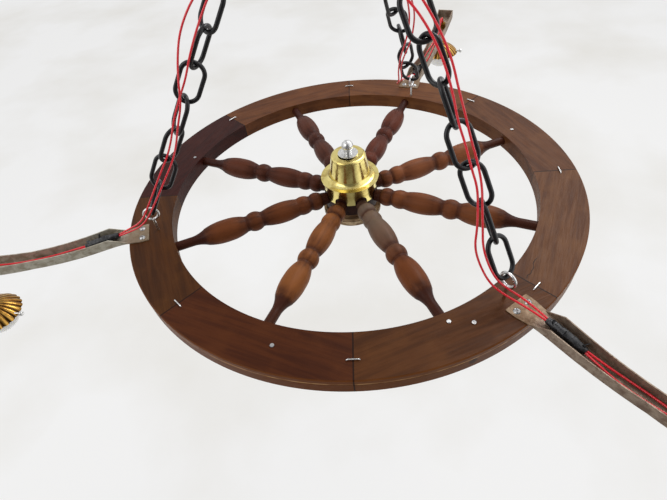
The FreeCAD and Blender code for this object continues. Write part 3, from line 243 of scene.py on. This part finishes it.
# Outline of a loose end, as (share of its reach, share of its width) from its root to its tip.
FLAP_OUTLINE = ((-0.5, 1.0), (0.35, 0.9), (0.75, 0.5), (1.0, 0.12))
# Half the distance between a loose end's two faces, as a share of the splice's half length.
FLAP_HALF_THICK = 0.006


def spindle_radius(u):
    """Radius of the splice under the tape's own relief, for u from -1 to 1 along it."""
    return TAPE_END_R + (TAPE_MIDDLE_R - TAPE_END_R) * (1 - u * u)


def tape_radius(u, angle, seed):
    """Radius of the wound tape: the spindle with a spiral of raised edges and soft lumps."""
    wrap = (u * TAPE_WRAPS / 2 + angle / math.tau) % 1.0
    across = TAPE_LUMPS_ROUND * math.cos(angle)
    over = TAPE_LUMPS_ROUND * math.sin(angle) + seed
    lump = noise.noise(Vector((TAPE_LUMPS_ALONG * u, across, over)))
    return spindle_radius(u) + TAPE_STEP * (0.5 - wrap) + TAPE_LUMP * lump


def add_tape(side, seed, material):
    """The taped splice at an arm's root, with the loose ends that stand away from it."""
    start = on_wheel(TAPE_START[0], ARM_AZIMUTH[side], TAPE_START[1])
    end = on_wheel(TAPE_END[0], ARM_AZIMUTH[side], TAPE_END[1])
    along = (end - start).normalized()
    up = (Vector((0, 0, 1)) - along * along.z).normalized()
    aside = along.cross(up)
    half = (end - start).length / 2
    middle = (start + end) / 2

    def at(u, angle, radius):
        return middle + along * half * u + (up * math.cos(angle) + aside * math.sin(angle)) * radius

    points = []
    faces = []
    for row in range(TAPE_RINGS + 1):
        u = 2 * row / TAPE_RINGS - 1
        for k in range(TAPE_SEGMENTS):
            angle = math.tau * k / TAPE_SEGMENTS
            points.append(at(u, angle, tape_radius(u, angle, seed)))
    for row in range(TAPE_RINGS):
        for k in range(TAPE_SEGMENTS):
            a = row * TAPE_SEGMENTS + k
            b = row * TAPE_SEGMENTS + (k + 1) % TAPE_SEGMENTS
            faces.append((a, b, b + TAPE_SEGMENTS, a + TAPE_SEGMENTS))
    faces.append(tuple(reversed(range(TAPE_SEGMENTS))))
    faces.append(tuple(TAPE_RINGS * TAPE_SEGMENTS + k for k in range(TAPE_SEGMENTS)))
    for u, turn, reach, lean, width in TAPE_FLAPS[side]:
        add_flap(points, faces, at, u, math.radians(turn), reach, lean * reach / half, width)
    mesh = bpy.data.meshes.new("tape_" + side)
    mesh.from_pydata(points, [], faces)
    mesh.update()
    mesh.materials.append(material)
    tape = bpy.data.objects.new("tape_" + side, mesh)
    bpy.context.scene.collection.objects.link(tape)
    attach(tape, "wheel")
    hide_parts("tape_joints")


def add_flap(points, faces, at, u, angle, reach, lean, width):
    """A pointed tongue of tape, thin and closed, that rises off the spindle."""
    first = len(points)
    body = spindle_radius(u)
    for share, narrow in FLAP_OUTLINE:
        spread = width * narrow / (2 * body)
        for thick in (-FLAP_HALF_THICK, FLAP_HALF_THICK):
            for edge in (-1, 1):
                points.append(at(u + lean * share + thick, angle + edge * spread, body + reach * share))
    last = first + 4 * (len(FLAP_OUTLINE) - 1)
    for a in range(first, last, 4):
        faces.append((a, a + 1, a + 5, a + 4))
        faces.append((a + 3, a + 2, a + 6, a + 7))
        faces.append((a + 2, a, a + 4, a + 6))
        faces.append((a + 1, a + 3, a + 7, a + 5))
    faces.append((first + 2, first + 3, first + 1, first))
    faces.append((last, last + 1, last + 3, last + 2))


def add_tapes(material):
    for number, side in enumerate(SIDES):
        add_tape(side, TAPE_SEED_STEP * number, material)


# ---------------------------------------------------------------- node trees
def srgb(red, green, blue):
    """A colour given as it looks on screen, 0 to 255, as the shader's linear colour."""
    def linear(value):
        value /= 255.0
        return value / 12.92 if value <= 0.04045 else ((value + 0.055) / 1.055) ** 2.4
    return (linear(red), linear(green), linear(blue), 1.0)


class Nodes:
    """A node tree, with short calls for the nodes that the finishes and the stage use."""

    def __init__(self, tree):
        self.nodes = tree.nodes
        self.links = tree.links

    def feed(self, node, socket, value):
        """Link an output to a node's input, or set the input's value; None leaves it as it is."""
        if isinstance(value, bpy.types.NodeSocket):
            self.links.new(value, node.inputs[socket])
        elif value is not None:
            node.inputs[socket].default_value = value

    def place(self):
        """Position in the part's own frame; it stays with the piece when the piece moves."""
        return self.nodes.new("ShaderNodeTexCoord").outputs["Object"]

    def local(self, centre, turn, stretch=(1, 1, 1)):
        """Position from a centre, turned so that X points along an azimuth, then stretched."""
        turned = self.nodes.new("ShaderNodeVectorRotate")
        turned.rotation_type = "Z_AXIS"
        self.feed(turned, "Vector", self.vector("SUBTRACT", self.place(), centre))
        self.feed(turned, "Angle", -math.radians(turn))
        return self.vector("MULTIPLY", turned.outputs[0], stretch)

    def split(self, vector):
        node = self.nodes.new("ShaderNodeSeparateXYZ")
        self.links.new(vector, node.inputs[0])
        return list(node.outputs)

    def vector(self, operation, first, second=None, result="Vector"):
        node = self.nodes.new("ShaderNodeVectorMath")
        node.operation = operation
        self.feed(node, 0, first)
        self.feed(node, 1, second)
        return node.outputs[result]

    def math(self, operation, first, second=None):
        node = self.nodes.new("ShaderNodeMath")
        node.operation = operation
        self.feed(node, 0, first)
        self.feed(node, 1, second)
        return node.outputs[0]

    def length(self, first, second):
        """Length of the flat vector with these two parts."""
        squares = [self.math("MULTIPLY", part, part) for part in (first, second)]
        return self.math("SQRT", self.math("ADD", *squares))

    def noise(self, vector, scale, detail=4.0, roughness=0.5, distortion=0.0):
        node = self.nodes.new("ShaderNodeTexNoise")
        self.links.new(vector, node.inputs["Vector"])
        node.inputs["Scale"].default_value = scale
        node.inputs["Detail"].default_value = detail
        node.inputs["Roughness"].default_value = roughness
        node.inputs["Distortion"].default_value = distortion
        return node.outputs["Fac"]

    def between(self, value, low, high, out_low=0.0, out_high=1.0, smooth=True):
        """A value brought from one range to another and clamped."""
        node = self.nodes.new("ShaderNodeMapRange")
        if smooth:
            node.interpolation_type = "SMOOTHSTEP"
        self.feed(node, "Value", value)
        node.inputs["From Min"].default_value = low
        node.inputs["From Max"].default_value = high
        node.inputs["To Min"].default_value = out_low
        node.inputs["To Max"].default_value = out_high
        return node.outputs[0]

    def mix(self, share, first, second):
        """A colour between two others, each an output or a colour on the 0 to 255 scale."""
        node = self.nodes.new("ShaderNodeMix")
        node.data_type = "RGBA"
        self.feed(node, 0, share)
        for socket, colour in ((6, first), (7, second)):
            self.feed(node, socket, srgb(*colour) if isinstance(colour, tuple) else colour)
        return node.outputs[2]


class Shader(Nodes):
    """A material with a node tree around one principled shader."""

    def __init__(self, name):
        self.material = bpy.data.materials.new(name)
        self.material.use_nodes = True
        super().__init__(self.material.node_tree)
        self.bsdf = self.nodes["Principled BSDF"]

    def set(self, socket, value):
        self.feed(self.bsdf, socket, value)

    def bump(self, height, distance, strength=1.0):
        node = self.nodes.new("ShaderNodeBump")
        self.links.new(height, node.inputs["Height"])
        node.inputs["Distance"].default_value = distance
        node.inputs["Strength"].default_value = strength
        self.set("Normal", node.outputs["Normal"])


# ---------------------------------------------------------------- wood
# Here and below, noise scales are in waves a metre, lengths in metres, and a pair of numbers is
# where something starts and ends.
WOOD_STRETCH = 0.06
WOOD_FIBRES = 700.0
WOOD_BANDS = 130.0
WOOD_BLOTCHES = 22.0
WOOD_GLOSS = 0.11
WOOD_RELIEF = 0.00012


def wood(name, tints, turn, along):
    """Stained and varnished wood: fibres along one local axis, soft bands and blotches."""
    base, dark, light = tints
    shader = Shader(name)
    stretch = (WOOD_STRETCH, 1, 1) if along == "x" else (1, WOOD_STRETCH, 1)
    grain = shader.local(WHEEL, turn, stretch)
    fibre = shader.noise(grain, WOOD_FIBRES, detail=3.0, roughness=0.6)
    band = shader.noise(grain, WOOD_BANDS, detail=4.0, roughness=0.55, distortion=0.4)
    blotch = shader.noise(shader.local(WHEEL, turn), WOOD_BLOTCHES, detail=3.0, distortion=0.3)
    colour = shader.mix(shader.between(band, 0.38, 0.68), base, dark)
    colour = shader.mix(shader.between(blotch, 0.52, 0.75, 0.0, 0.55), colour, light)
    colour = shader.mix(shader.between(fibre, 0.5, 0.78, 0.0, 0.5), colour, dark)
    shader.set("Roughness", shader.between(fibre, 0.3, 0.7, 0.4, 0.55))
    shader.set("Specular IOR Level", WOOD_GLOSS)
    shader.bump(shader.math("ADD", fibre, band), WOOD_RELIEF)
    return shader, colour


# Base, dark and light tints of the eight felloes, from the joint nearest the camera to the right.
FELLOE_TINTS = [
    ((90, 52, 24), (70, 38, 15), (106, 64, 30)),
    ((106, 68, 41), (84, 50, 29), (122, 82, 50)),
    ((98, 60, 35), (78, 45, 25), (114, 74, 44)),
    ((110, 67, 36), (88, 51, 27), (126, 80, 44)),
    ((102, 60, 33), (80, 45, 23), (120, 74, 40)),
    ((54, 19, 13), (41, 13, 9), (66, 27, 18)),
    ((78, 44, 17), (60, 32, 11), (92, 55, 22)),
    ((80, 39, 15), (62, 27, 9), (92, 48, 20)),
]
OUTER_WALL_TINT = (124, 72, 30)
OUTER_WALL_SKIN = (0.0006, 0.0016)
# Paler tint on the band's edges: patchy wear together with a painted highlight.
ARRIS_WEAR_AND_HIGHLIGHT_TINT = (188, 142, 92)
ARRIS_SKIN = (0.0005, 0.0014)
ARRIS_BELOW_TOP = 0.0064
ARRIS_FADE = (0.0003, 0.0016)
ARRIS_PATCHES = 45.0
GROOVE_TINT = (38, 19, 9)
GROOVE_WALL = (0.0013, 0.0021)
GROOVE_BACK = (0.003, 0.004)
GROOVE_TOP = (-0.004, -0.006)
JOINT_TINT = (26, 12, 6)
JOINT_LINE = (0.00042, 0.00112)

CRACKED_FELLOE = 1
CRACK_TINT = (30, 14, 7)
CRACK_PLACE = (0.198, -0.1695, 0.0)
CRACK_AZIMUTH = 58.2
CRACK_HALF = 0.020
CRACK_LINE = (0.0002, 0.0009)
CRACK_WANDER = 0.0012
KNOTTY_FELLOE = 0
KNOT_TINT = (46, 24, 12)
KNOT_PLACE = (0.1168, -0.2763, -0.012)
KNOT_R = 0.006


def arris_wear_and_highlight(shader, turn, from_outer, z):
    """Share of paler wood on the edges of the outer wall's raised band: patchy wear and a painted highlight.
    """
    at_outside = shader.between(from_outer, *ARRIS_SKIN, 1.0, 0.0)
    from_arris = shader.math("ABSOLUTE", shader.math("ADD", z, ARRIS_BELOW_TOP))
    near_arris = shader.between(from_arris, *ARRIS_FADE, 1.0, 0.0)
    patches = shader.noise(shader.local(WHEEL, turn), ARRIS_PATCHES, detail=3.0)
    patchy = shader.between(patches, 0.35, 0.6, 0.15, 0.8)
    return shader.math("MULTIPLY", shader.math("MULTIPLY", at_outside, near_arris), patchy)


def groove_shade(shader, from_outer, z):
    """Share of shade in the groove round the outer wall."""
    inside = shader.between(from_outer, *GROOVE_WALL)
    outside = shader.between(from_outer, *GROOVE_BACK, 1.0, 0.0)
    groove = shader.math("MULTIPLY", inside, outside)
    return shader.math("MULTIPLY", shader.math("MULTIPLY", groove, shader.between(z, *GROOVE_TOP)), 0.85)


def joint_shade(shader, x, y):
    """Share of the dark line at each end of a felloe."""
    half = math.radians(FELLOE_ANGLE / 2)
    rise = shader.math("MULTIPLY", x, math.sin(half))
    fall = shader.math("MULTIPLY", shader.math("ABSOLUTE", y), math.cos(half))
    return shader.between(shader.math("SUBTRACT", rise, fall), *JOINT_LINE, 0.9, 0.0)


def crack(shader):
    """Share of a fine, wandering split in a felloe's top face."""
    x, y = shader.split(shader.local(WHEEL + Vector(CRACK_PLACE), CRACK_AZIMUTH))[:2]
    drift = shader.noise(shader.place(), 120.0, detail=2.0)
    wander = shader.between(drift, 0.3, 0.7, -CRACK_WANDER, CRACK_WANDER)
    off = shader.math("ABSOLUTE", shader.math("ADD", y, wander))
    along = shader.between(shader.math("ABSOLUTE", x), 0.7 * CRACK_HALF, CRACK_HALF, 1.0, 0.0)
    return shader.math("MULTIPLY", shader.between(off, *CRACK_LINE, 0.85, 0.0), along)


def knot(shader):
    """Share of a small dark knot in a felloe's outer wall."""
    away = shader.vector("DISTANCE", shader.place(), WHEEL + Vector(KNOT_PLACE), "Value")
    return shader.between(away, 0.5 * KNOT_R, KNOT_R, 0.85, 0.0)


def felloe_wood(k):
    """A felloe's wood: golden outer wall, arrises paler with wear and a painted highlight, shaded groove and
    dark joints.
    """
    turn = FIRST_JOINT + FELLOE_ANGLE * (k + 0.5)
    shader, colour = wood("wood_felloe_%d" % (k + 1), FELLOE_TINTS[k], turn, "y")
    x, y, z = shader.split(shader.local(WHEEL, turn))
    from_outer = shader.math("SUBTRACT", RIM_OUTER_R, shader.length(x, y))
    colour = shader.mix(shader.between(from_outer, *OUTER_WALL_SKIN, 0.5, 0.0), colour, OUTER_WALL_TINT)
    # Paler arrises: wear and a painted highlight.
    colour = shader.mix(arris_wear_and_highlight(shader, turn, from_outer, z), colour, ARRIS_WEAR_AND_HIGHLIGHT_TINT)
    colour = shader.mix(groove_shade(shader, from_outer, z), colour, GROOVE_TINT)
    colour = shader.mix(joint_shade(shader, x, y), colour, JOINT_TINT)
    if k == CRACKED_FELLOE:
        colour = shader.mix(crack(shader), colour, CRACK_TINT)
    if k == KNOTTY_FELLOE:
        colour = shader.mix(knot(shader), colour, KNOT_TINT)
    shader.set("Base Color", colour)
    return shader.material


SPOKE_TINTS = [
    (98, 52, 26), (104, 58, 33), (118, 69, 44), (90, 46, 34),
    (76, 42, 32), (78, 40, 26), (94, 50, 26), (122, 72, 38),
]
SPOKE_DARK = (0.72, 0.68, 0.66)
SPOKE_LIGHT = (1.35, 1.4, 1.35)
# Painted shade where a spoke is thin, in its turned grooves and at its end by the rim.
SPOKE_GROOVE_SHADE_TINT = (52, 22, 14)
SPOKE_SHADE_RADIUS = (0.0092, 0.0122)
# Painted highlight where a spoke is thickest, on its swellings.
CREST_HIGHLIGHT_RADIUS = (0.0122, 0.0146)
DUSTY_SPOKE = 0
DUST_TINT = (112, 98, 84)
DUST_REACH = (0.16, 0.08)
DUST_RADIUS = (0.0095, 0.012)


def spoke_wood(k):
    """A spoke's wood: painted shade in the turned grooves and by the rim, a painted highlight on the
    swellings.
    """
    turn = FIRST_JOINT + FELLOE_ANGLE * (k + 0.5)
    base = SPOKE_TINTS[k]
    dark = tuple(part * share for part, share in zip(base, SPOKE_DARK))
    light = tuple(part * share for part, share in zip(base, SPOKE_LIGHT))
    shader, colour = wood("wood_spoke_%d" % (k + 1), (base, dark, light), turn, "x")
    x, y, z = shader.split(shader.local(WHEEL, turn))
    thick = shader.length(y, shader.math("ADD", z, SPOKE_AXIS_BELOW_TOP))
    # Painted shade in the thin turned grooves and at the spoke's end.
    colour = shader.mix(shader.between(thick, *SPOKE_SHADE_RADIUS, 0.85, 0.0), colour, SPOKE_GROOVE_SHADE_TINT)
    # Painted highlight on the swellings, in the spoke's light tint.
    colour = shader.mix(shader.between(thick, *CREST_HIGHLIGHT_RADIUS, 0.0, 0.45), colour, light)
    if k == DUSTY_SPOKE:
        by_hub = shader.between(x, *DUST_REACH)
        dust = shader.math("MULTIPLY", by_hub, shader.between(thick, *DUST_RADIUS, 0.2, 0.75))
        colour = shader.mix(dust, colour, DUST_TINT)
    shader.set("Base Color", colour)
    return shader.material


HUB_TINTS = ((52, 26, 18), (34, 15, 10), (74, 40, 26))
BASE_TINTS = ((140, 112, 80), (104, 76, 50), (190, 160, 122))
BASE_GRAIN_AZIMUTH = 20
# Cream in patches towards the plate's lower edge.
BASE_CREAM_TINT = (228, 203, 164)
BASE_CREAM_HEIGHT = (-0.030, -0.036)


def hub_wood():
    shader, colour = wood("wood_hub", HUB_TINTS, 0, "y")
    shader.set("Base Color", colour)
    return shader.material


def base_wood():
    """Turned plate under the hub: brown above, cream in patches towards the lower edge."""
    shader, colour = wood("wood_base", BASE_TINTS, BASE_GRAIN_AZIMUTH, "x")
    place = shader.local(WHEEL, 0)
    # Mask for the cream patches: noise times nearness to the lower edge.
    worn = shader.between(shader.noise(place, 40.0, detail=4.0, roughness=0.6), 0.42, 0.62)
    low = shader.between(shader.split(place)[2], *BASE_CREAM_HEIGHT)
    shader.set("Base Color", shader.mix(shader.math("MULTIPLY", worn, low), colour, BASE_CREAM_TINT))
    return shader.material


# ---------------------------------------------------------------- metal
# Pairs of tints are (bright, dull).
BELL_BRASS = ((222, 206, 132), (182, 160, 92))
STEM_BRASS = ((206, 168, 74), (150, 106, 42))
GALLERY_BRASS = ((180, 138, 66), (138, 98, 46))
BRASS_STAIN = (96, 62, 24)
FLUTE_SHADE = (62, 34, 14)
BRASS_MARKS = (40, 40, 1400)
ZINC = ((222, 222, 220), (168, 168, 166))
GREY_STEEL = ((176, 176, 174), (128, 130, 134))
LACQUER = ((13, 13, 16), (38, 30, 28))
ARM_TINTS = {
    "left": ((190, 184, 168), (152, 143, 124)),
    "right": ((150, 132, 114), (116, 94, 78)),
    "rear": ((152, 136, 118), (118, 98, 80)),
}
ARM_STAIN = (88, 66, 50)
EAR_TINT = (116, 88, 54)
EAR_REACH = (0.312, 0.296)


def brass(name, tints, roughness, tarnish, side=None):
    """Polished brass: fine marks, duller patches and brown stains, dark in a gallery's flutes."""
    shader = Shader(name)
    place = shader.place()
    patch = shader.noise(place, 60.0, detail=4.0, roughness=0.6, distortion=0.5)
    colour = shader.mix(shader.between(patch, 0.42, 0.66), *tints)
    spots = shader.between(shader.noise(place, 260.0, detail=3.0), 0.64, 0.74, 0.0, tarnish)
    colour = shader.mix(spots, colour, BRASS_STAIN)
    if side:
        low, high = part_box("gallery_" + side)
        x, y = shader.split(shader.local((Vector(low) + Vector(high)) / 2, ARM_AZIMUTH[side]))[:2]
        turns = shader.math("MULTIPLY", shader.math("ARCTAN2", y, x), float(GALLERY_FLUTES))
        flute = shader.between(shader.math("COSINE", turns), -0.3, 0.75, 0.0, 0.9)
        colour = shader.mix(flute, colour, FLUTE_SHADE)
    shader.set("Base Color", colour)
    shader.set("Metallic", 1.0)
    marks = shader.noise(shader.local(WHEEL, 0, BRASS_MARKS), 1.0, detail=2.0)
    dulled = shader.between(patch, 0.4, 0.7, roughness, roughness + 0.16)
    shader.set("Roughness", shader.math("ADD", dulled, shader.between(marks, 0.3, 0.7, -0.03, 0.05)))
    shader.bump(shader.noise(place, 90.0, detail=2.0), 0.0003, 0.35)
    return shader.material


def steel(name, tints, roughness):
    """Bright plated steel with dull grey patches."""
    shader = Shader(name)
    place = shader.place()
    patch = shader.noise(place, 420.0, detail=4.0, roughness=0.6)
    shader.set("Base Color", shader.mix(shader.between(patch, 0.4, 0.7), *tints))
    shader.set("Metallic", 1.0)
    shader.set("Roughness", shader.between(patch, 0.3, 0.7, roughness, roughness + 0.2))
    shader.bump(shader.noise(place, 900.0, detail=2.0), 0.00008, 0.5)
    return shader.material


def black_paint():
    """Black chain lacquer: satin, a little brown where it has worn thin."""
    shader = Shader("black_lacquer")
    place = shader.place()
    worn = shader.between(shader.noise(place, 210.0, detail=4.0, roughness=0.6), 0.56, 0.72)
    shader.set("Base Color", shader.mix(worn, *LACQUER))
    shader.set("Roughness", shader.between(worn, 0.0, 1.0, 0.32, 0.55))
    shader.set("Metallic", 0.25)
    shader.bump(shader.noise(place, 700.0, detail=3.0), 0.0001, 0.6)
    return shader.material


def arm_steel(side):
    """Aged sheet steel: grey-beige with brown stains, brassy at the ears."""
    shader = Shader("aged_steel_" + side)
    place = shader.local(WHEEL, ARM_AZIMUTH[side])
    streaks = shader.local(WHEEL, ARM_AZIMUTH[side], (0.25, 1, 1))
    mottle = shader.noise(place, 110.0, detail=5.0, roughness=0.65, distortion=0.6)
    stain = shader.noise(streaks, 60.0, detail=4.0, roughness=0.6)
    colour = shader.mix(shader.between(mottle, 0.36, 0.66), *ARM_TINTS[side])
    colour = shader.mix(shader.between(stain, 0.55, 0.75, 0.0, 0.6), colour, ARM_STAIN)
    outward = shader.split(place)[0]
    colour = shader.mix(shader.between(outward, *EAR_REACH, 0.0, 0.7), colour, EAR_TINT)
    shader.set("Base Color", colour)
    shader.set("Metallic", 0.35)
    shader.set("Roughness", shader.between(mottle, 0.3, 0.7, 0.42, 0.62))
    shader.bump(mottle, 0.0002, 0.5)
    return shader.material


# ---------------------------------------------------------------- glass and plastic
OPAL = ((250, 248, 243), (240, 237, 228))
FROSTED = ((250, 244, 226), (236, 228, 206))
RED = ((232, 24, 44), (240, 84, 86))
TAPE_BLACK = ((12, 12, 15), (25, 25, 30))
DARK_PLASTIC = ((34, 30, 28), (24, 21, 20))
WHITE_PLASTIC = ((228, 224, 214), (214, 208, 196))


def opal_glass():
    """Milky white glass, glossy outside, that light enters a little."""
    shader = Shader("opal_glass")
    cloud = shader.noise(shader.place(), 30.0, detail=2.0)
    shader.set("Base Color", shader.mix(shader.between(cloud, 0.35, 0.7), *OPAL))
    shader.set("Roughness", 0.12)
    shader.set("Subsurface Weight", 0.4)
    shader.set("Subsurface Radius", (0.006, 0.006, 0.005))
    shader.set("Coat Weight", 0.6)
    shader.set("Coat Roughness", 0.05)
    return shader.material


def bulb_glass():
    """Frosted warm white glass."""
    shader = Shader("frosted_bulb")
    shader.set("Base Color", shader.mix(shader.noise(shader.place(), 120.0, detail=2.0), *FROSTED))
    shader.set("Roughness", 0.3)
    shader.set("Subsurface Weight", 0.3)
    shader.set("Subsurface Radius", (0.003, 0.003, 0.003))
    return shader.material


def plastic(name, tints, roughness):
    """Moulded plastic with a faint orange-peel surface."""
    shader = Shader(name)
    place = shader.place()
    cloud = shader.between(shader.noise(place, 160.0, detail=3.0), 0.35, 0.7)
    shader.set("Base Color", shader.mix(cloud, *tints))
    shader.set("Roughness", roughness)
    shader.bump(shader.noise(place, 1500.0, detail=2.0), 0.00004, 0.5)
    return shader.material


def red_wire():
    """Red wire insulation: glossy, a little paler where it is rubbed."""
    shader = Shader("red_insulation")
    place = shader.place()
    rubbed = shader.between(shader.noise(place, 90.0, detail=3.0), 0.5, 0.72, 0.0, 0.5)
    shader.set("Base Color", shader.mix(rubbed, *RED))
    shader.set("Roughness", 0.28)
    shader.set("Coat Weight", 0.25)
    shader.set("Coat Roughness", 0.15)
    shader.bump(shader.noise(place, 1200.0, detail=2.0), 0.00003, 0.4)
    return shader.material


def tape_finish():
    """Black insulating tape with a soft sheen and stretch marks."""
    shader = Shader("black_tape")
    place = shader.place()
    stretched = shader.between(shader.noise(place, 300.0, detail=3.0), 0.4, 0.7)
    shader.set("Base Color", shader.mix(stretched, *TAPE_BLACK))
    shader.set("Roughness", shader.between(shader.noise(place, 500.0, detail=2.0), 0.3, 0.7, 0.3, 0.5))
    shader.bump(shader.noise(place, 800.0, detail=3.0), 0.0002, 0.5)
    return shader.material


# ---------------------------------------------------------------- finishes on the CAD nodes
def paint(material, *names):
    for name in names:
        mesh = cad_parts[name].data
        mesh.materials.clear()
        mesh.materials.append(material)


def paint_nodes():
    for k in range(FELLOES):
        paint(felloe_wood(k), "felloe_%d" % (k + 1))
        paint(spoke_wood(k), "spoke_%d" % (k + 1))
    paint(hub_wood(), "felloe_dowels", "hub_core")
    paint(base_wood(), "hub_base")
    paint(brass("brass_bell", BELL_BRASS, 0.15, 0.35), "hub_bell", "hub_crown")
    zinc = steel("zinc_steel", ZINC, 0.18)
    paint(zinc, "hub_rod", "hub_nuts", "screw_eyes", "joint_staples", "thumbscrews")
    paint(steel("grey_steel", GREY_STEEL, 0.3), "rim_nails", "arm_screws")
    lacquer = black_paint()
    paint(lacquer, "ceiling_plate", "ceiling_hook", "gather_ring")
    paint(brass("brass_stem", STEM_BRASS, 0.22, 0.5), "lamp_stems")
    opal = opal_glass()
    bulb = bulb_glass()
    holder = plastic("dark_plastic", DARK_PLASTIC, 0.3)
    for side in SIDES:
        paint(lacquer, "chain_" + side)
        paint(arm_steel(side), "arm_" + side)
        paint(brass("brass_gallery_" + side, GALLERY_BRASS, 0.22, 0.5, side), "gallery_" + side)
        paint(opal, "globe_" + side)
        paint(bulb, "bulb_" + side)
        paint(holder, "lampholder_" + side)
    paint(plastic("white_plastic", WHITE_PLASTIC, 0.4), "terminal_block")


# ---------------------------------------------------------------- stage and light
FLOOR_DROP = 0.75
FLOOR_SIZE = 40.0
FLOOR_TINT = (226, 225, 222)
FLOOR_SHOWN_TINTS = ((252, 252, 252), (226, 222, 212))
FLOOR_STAINS = 1.7
# Share of the floor's look that is its own glow; the rest takes the part's shadow.
FLOOR_GLOW = 0.75
SKY_TINT = (246, 246, 248)
SKY_LIGHT = 0.5
SKY_SHOWN = 0.93
# Horizontal direction, where its share starts and is full, and what it adds to a reflection.
ROOM_SIDES = [(1, -0.45, -0.95, -0.75), (0, 0.3, 0.9, 0.75), (0, -0.4, -0.95, 0.25)]
ROOM_LEVEL = (1, 1, 0.4)
# Each soft lamp's place on the wheel, its size and its power.
LAMPS = {
    "key": ((0.9, 1.1, 1.7), 1.2, 26.0),
    "fill": ((-1.4, -0.9, 1.3), 1.6, 12.0),
}


def room_tone(nodes, vector):
    """Light of the room in a reflection: dim in front, bright on the right; 1 for other rays."""
    axes = nodes.split(nodes.vector("NORMALIZE", nodes.vector("MULTIPLY", vector, ROOM_LEVEL)))
    tone = 1.0
    for axis, start, full, gain in ROOM_SIDES:
        tone = nodes.math("ADD", nodes.between(axes[axis], start, full, 0.0, gain), tone)
    blend = nodes.nodes.new("ShaderNodeMix")
    nodes.feed(blend, 0, nodes.nodes.new("ShaderNodeLightPath").outputs["Is Glossy Ray"])
    nodes.feed(blend, 2, 1.0)
    nodes.feed(blend, 3, tone)
    return blend.outputs[0]


def shown_ray(nodes):
    """1 for what the camera, a reflection or a clear glass sees, and 0 for lighting rays."""
    path = nodes.nodes.new("ShaderNodeLightPath")
    share = path.outputs["Is Camera Ray"]
    for name in ("Is Glossy Ray", "Is Transmission Ray"):
        share = nodes.math("MAXIMUM", share, path.outputs[name])
    return share


def floor_finish():
    """Pale floor with faint stains, that shows its own glow and keeps the part's shadow."""
    shader = Shader("floor")
    shader.set("Base Color", srgb(*FLOOR_TINT))
    shader.set("Roughness", 0.9)
    place = shader.place()
    stains = shader.noise(place, FLOOR_STAINS, detail=5.0)
    stained = shader.between(stains, 0.42, 0.72, 0.0, 0.55, smooth=False)
    glow = shader.nodes.new("ShaderNodeEmission")
    shader.feed(glow, "Color", shader.mix(stained, *FLOOR_SHOWN_TINTS))
    shader.feed(glow, "Strength", room_tone(shader, place))
    both = shader.nodes.new("ShaderNodeMixShader")
    shader.feed(both, 0, shader.math("MULTIPLY", shown_ray(shader), FLOOR_GLOW))
    shader.feed(both, 1, shader.bsdf.outputs[0])
    shader.feed(both, 2, glow.outputs[0])
    shader.feed(shader.nodes["Material Output"], "Surface", both.outputs[0])
    return shader.material


def add_floor():
    mesh = bpy.data.meshes.new("floor")
    half = FLOOR_SIZE / 2
    z = RIM_LOW.z - FLOOR_DROP
    corners = [(-half, -half, z), (half, -half, z), (half, half, z), (-half, half, z)]
    mesh.from_pydata(corners, [], [(0, 1, 2, 3)])
    mesh.materials.append(floor_finish())
    floor = bpy.data.objects.new("floor", mesh)
    bpy.context.scene.collection.objects.link(floor)


def set_world():
    world = bpy.data.worlds.new("studio")
    bpy.context.scene.world = world
    world.use_nodes = True
    nodes = Nodes(world.node_tree)
    background = nodes.nodes["Background"]
    nodes.feed(background, "Color", srgb(*SKY_TINT))
    strength = nodes.between(shown_ray(nodes), 0.0, 1.0, SKY_LIGHT, SKY_SHOWN, smooth=False)
    direction = nodes.nodes.new("ShaderNodeTexCoord").outputs["Generated"]
    nodes.feed(background, "Strength", nodes.math("MULTIPLY", strength, room_tone(nodes, direction)))


def add_lamp(name, place, size, power):
    """A soft square lamp that faces the middle of the wheel."""
    data = bpy.data.lights.new(name, "AREA")
    data.size = size
    data.energy = power
    lamp = bpy.data.objects.new(name, data)
    bpy.context.scene.collection.objects.link(lamp)
    lamp.location = WHEEL + Vector(place)
    lamp.rotation_mode = "QUATERNION"
    lamp.rotation_quaternion = Vector([-value for value in place]).to_track_quat("-Z", "Y")


# ---------------------------------------------------------------- the scene
add_camera()
add_wires(red_wire())
paint_nodes()
add_tapes(tape_finish())
add_floor()
set_world()
for lamp_name, (lamp_place, lamp_size, lamp_power) in LAMPS.items():
    add_lamp(lamp_name, lamp_place, lamp_size, lamp_power)
bpy.context.scene.view_settings.view_transform = "Standard"
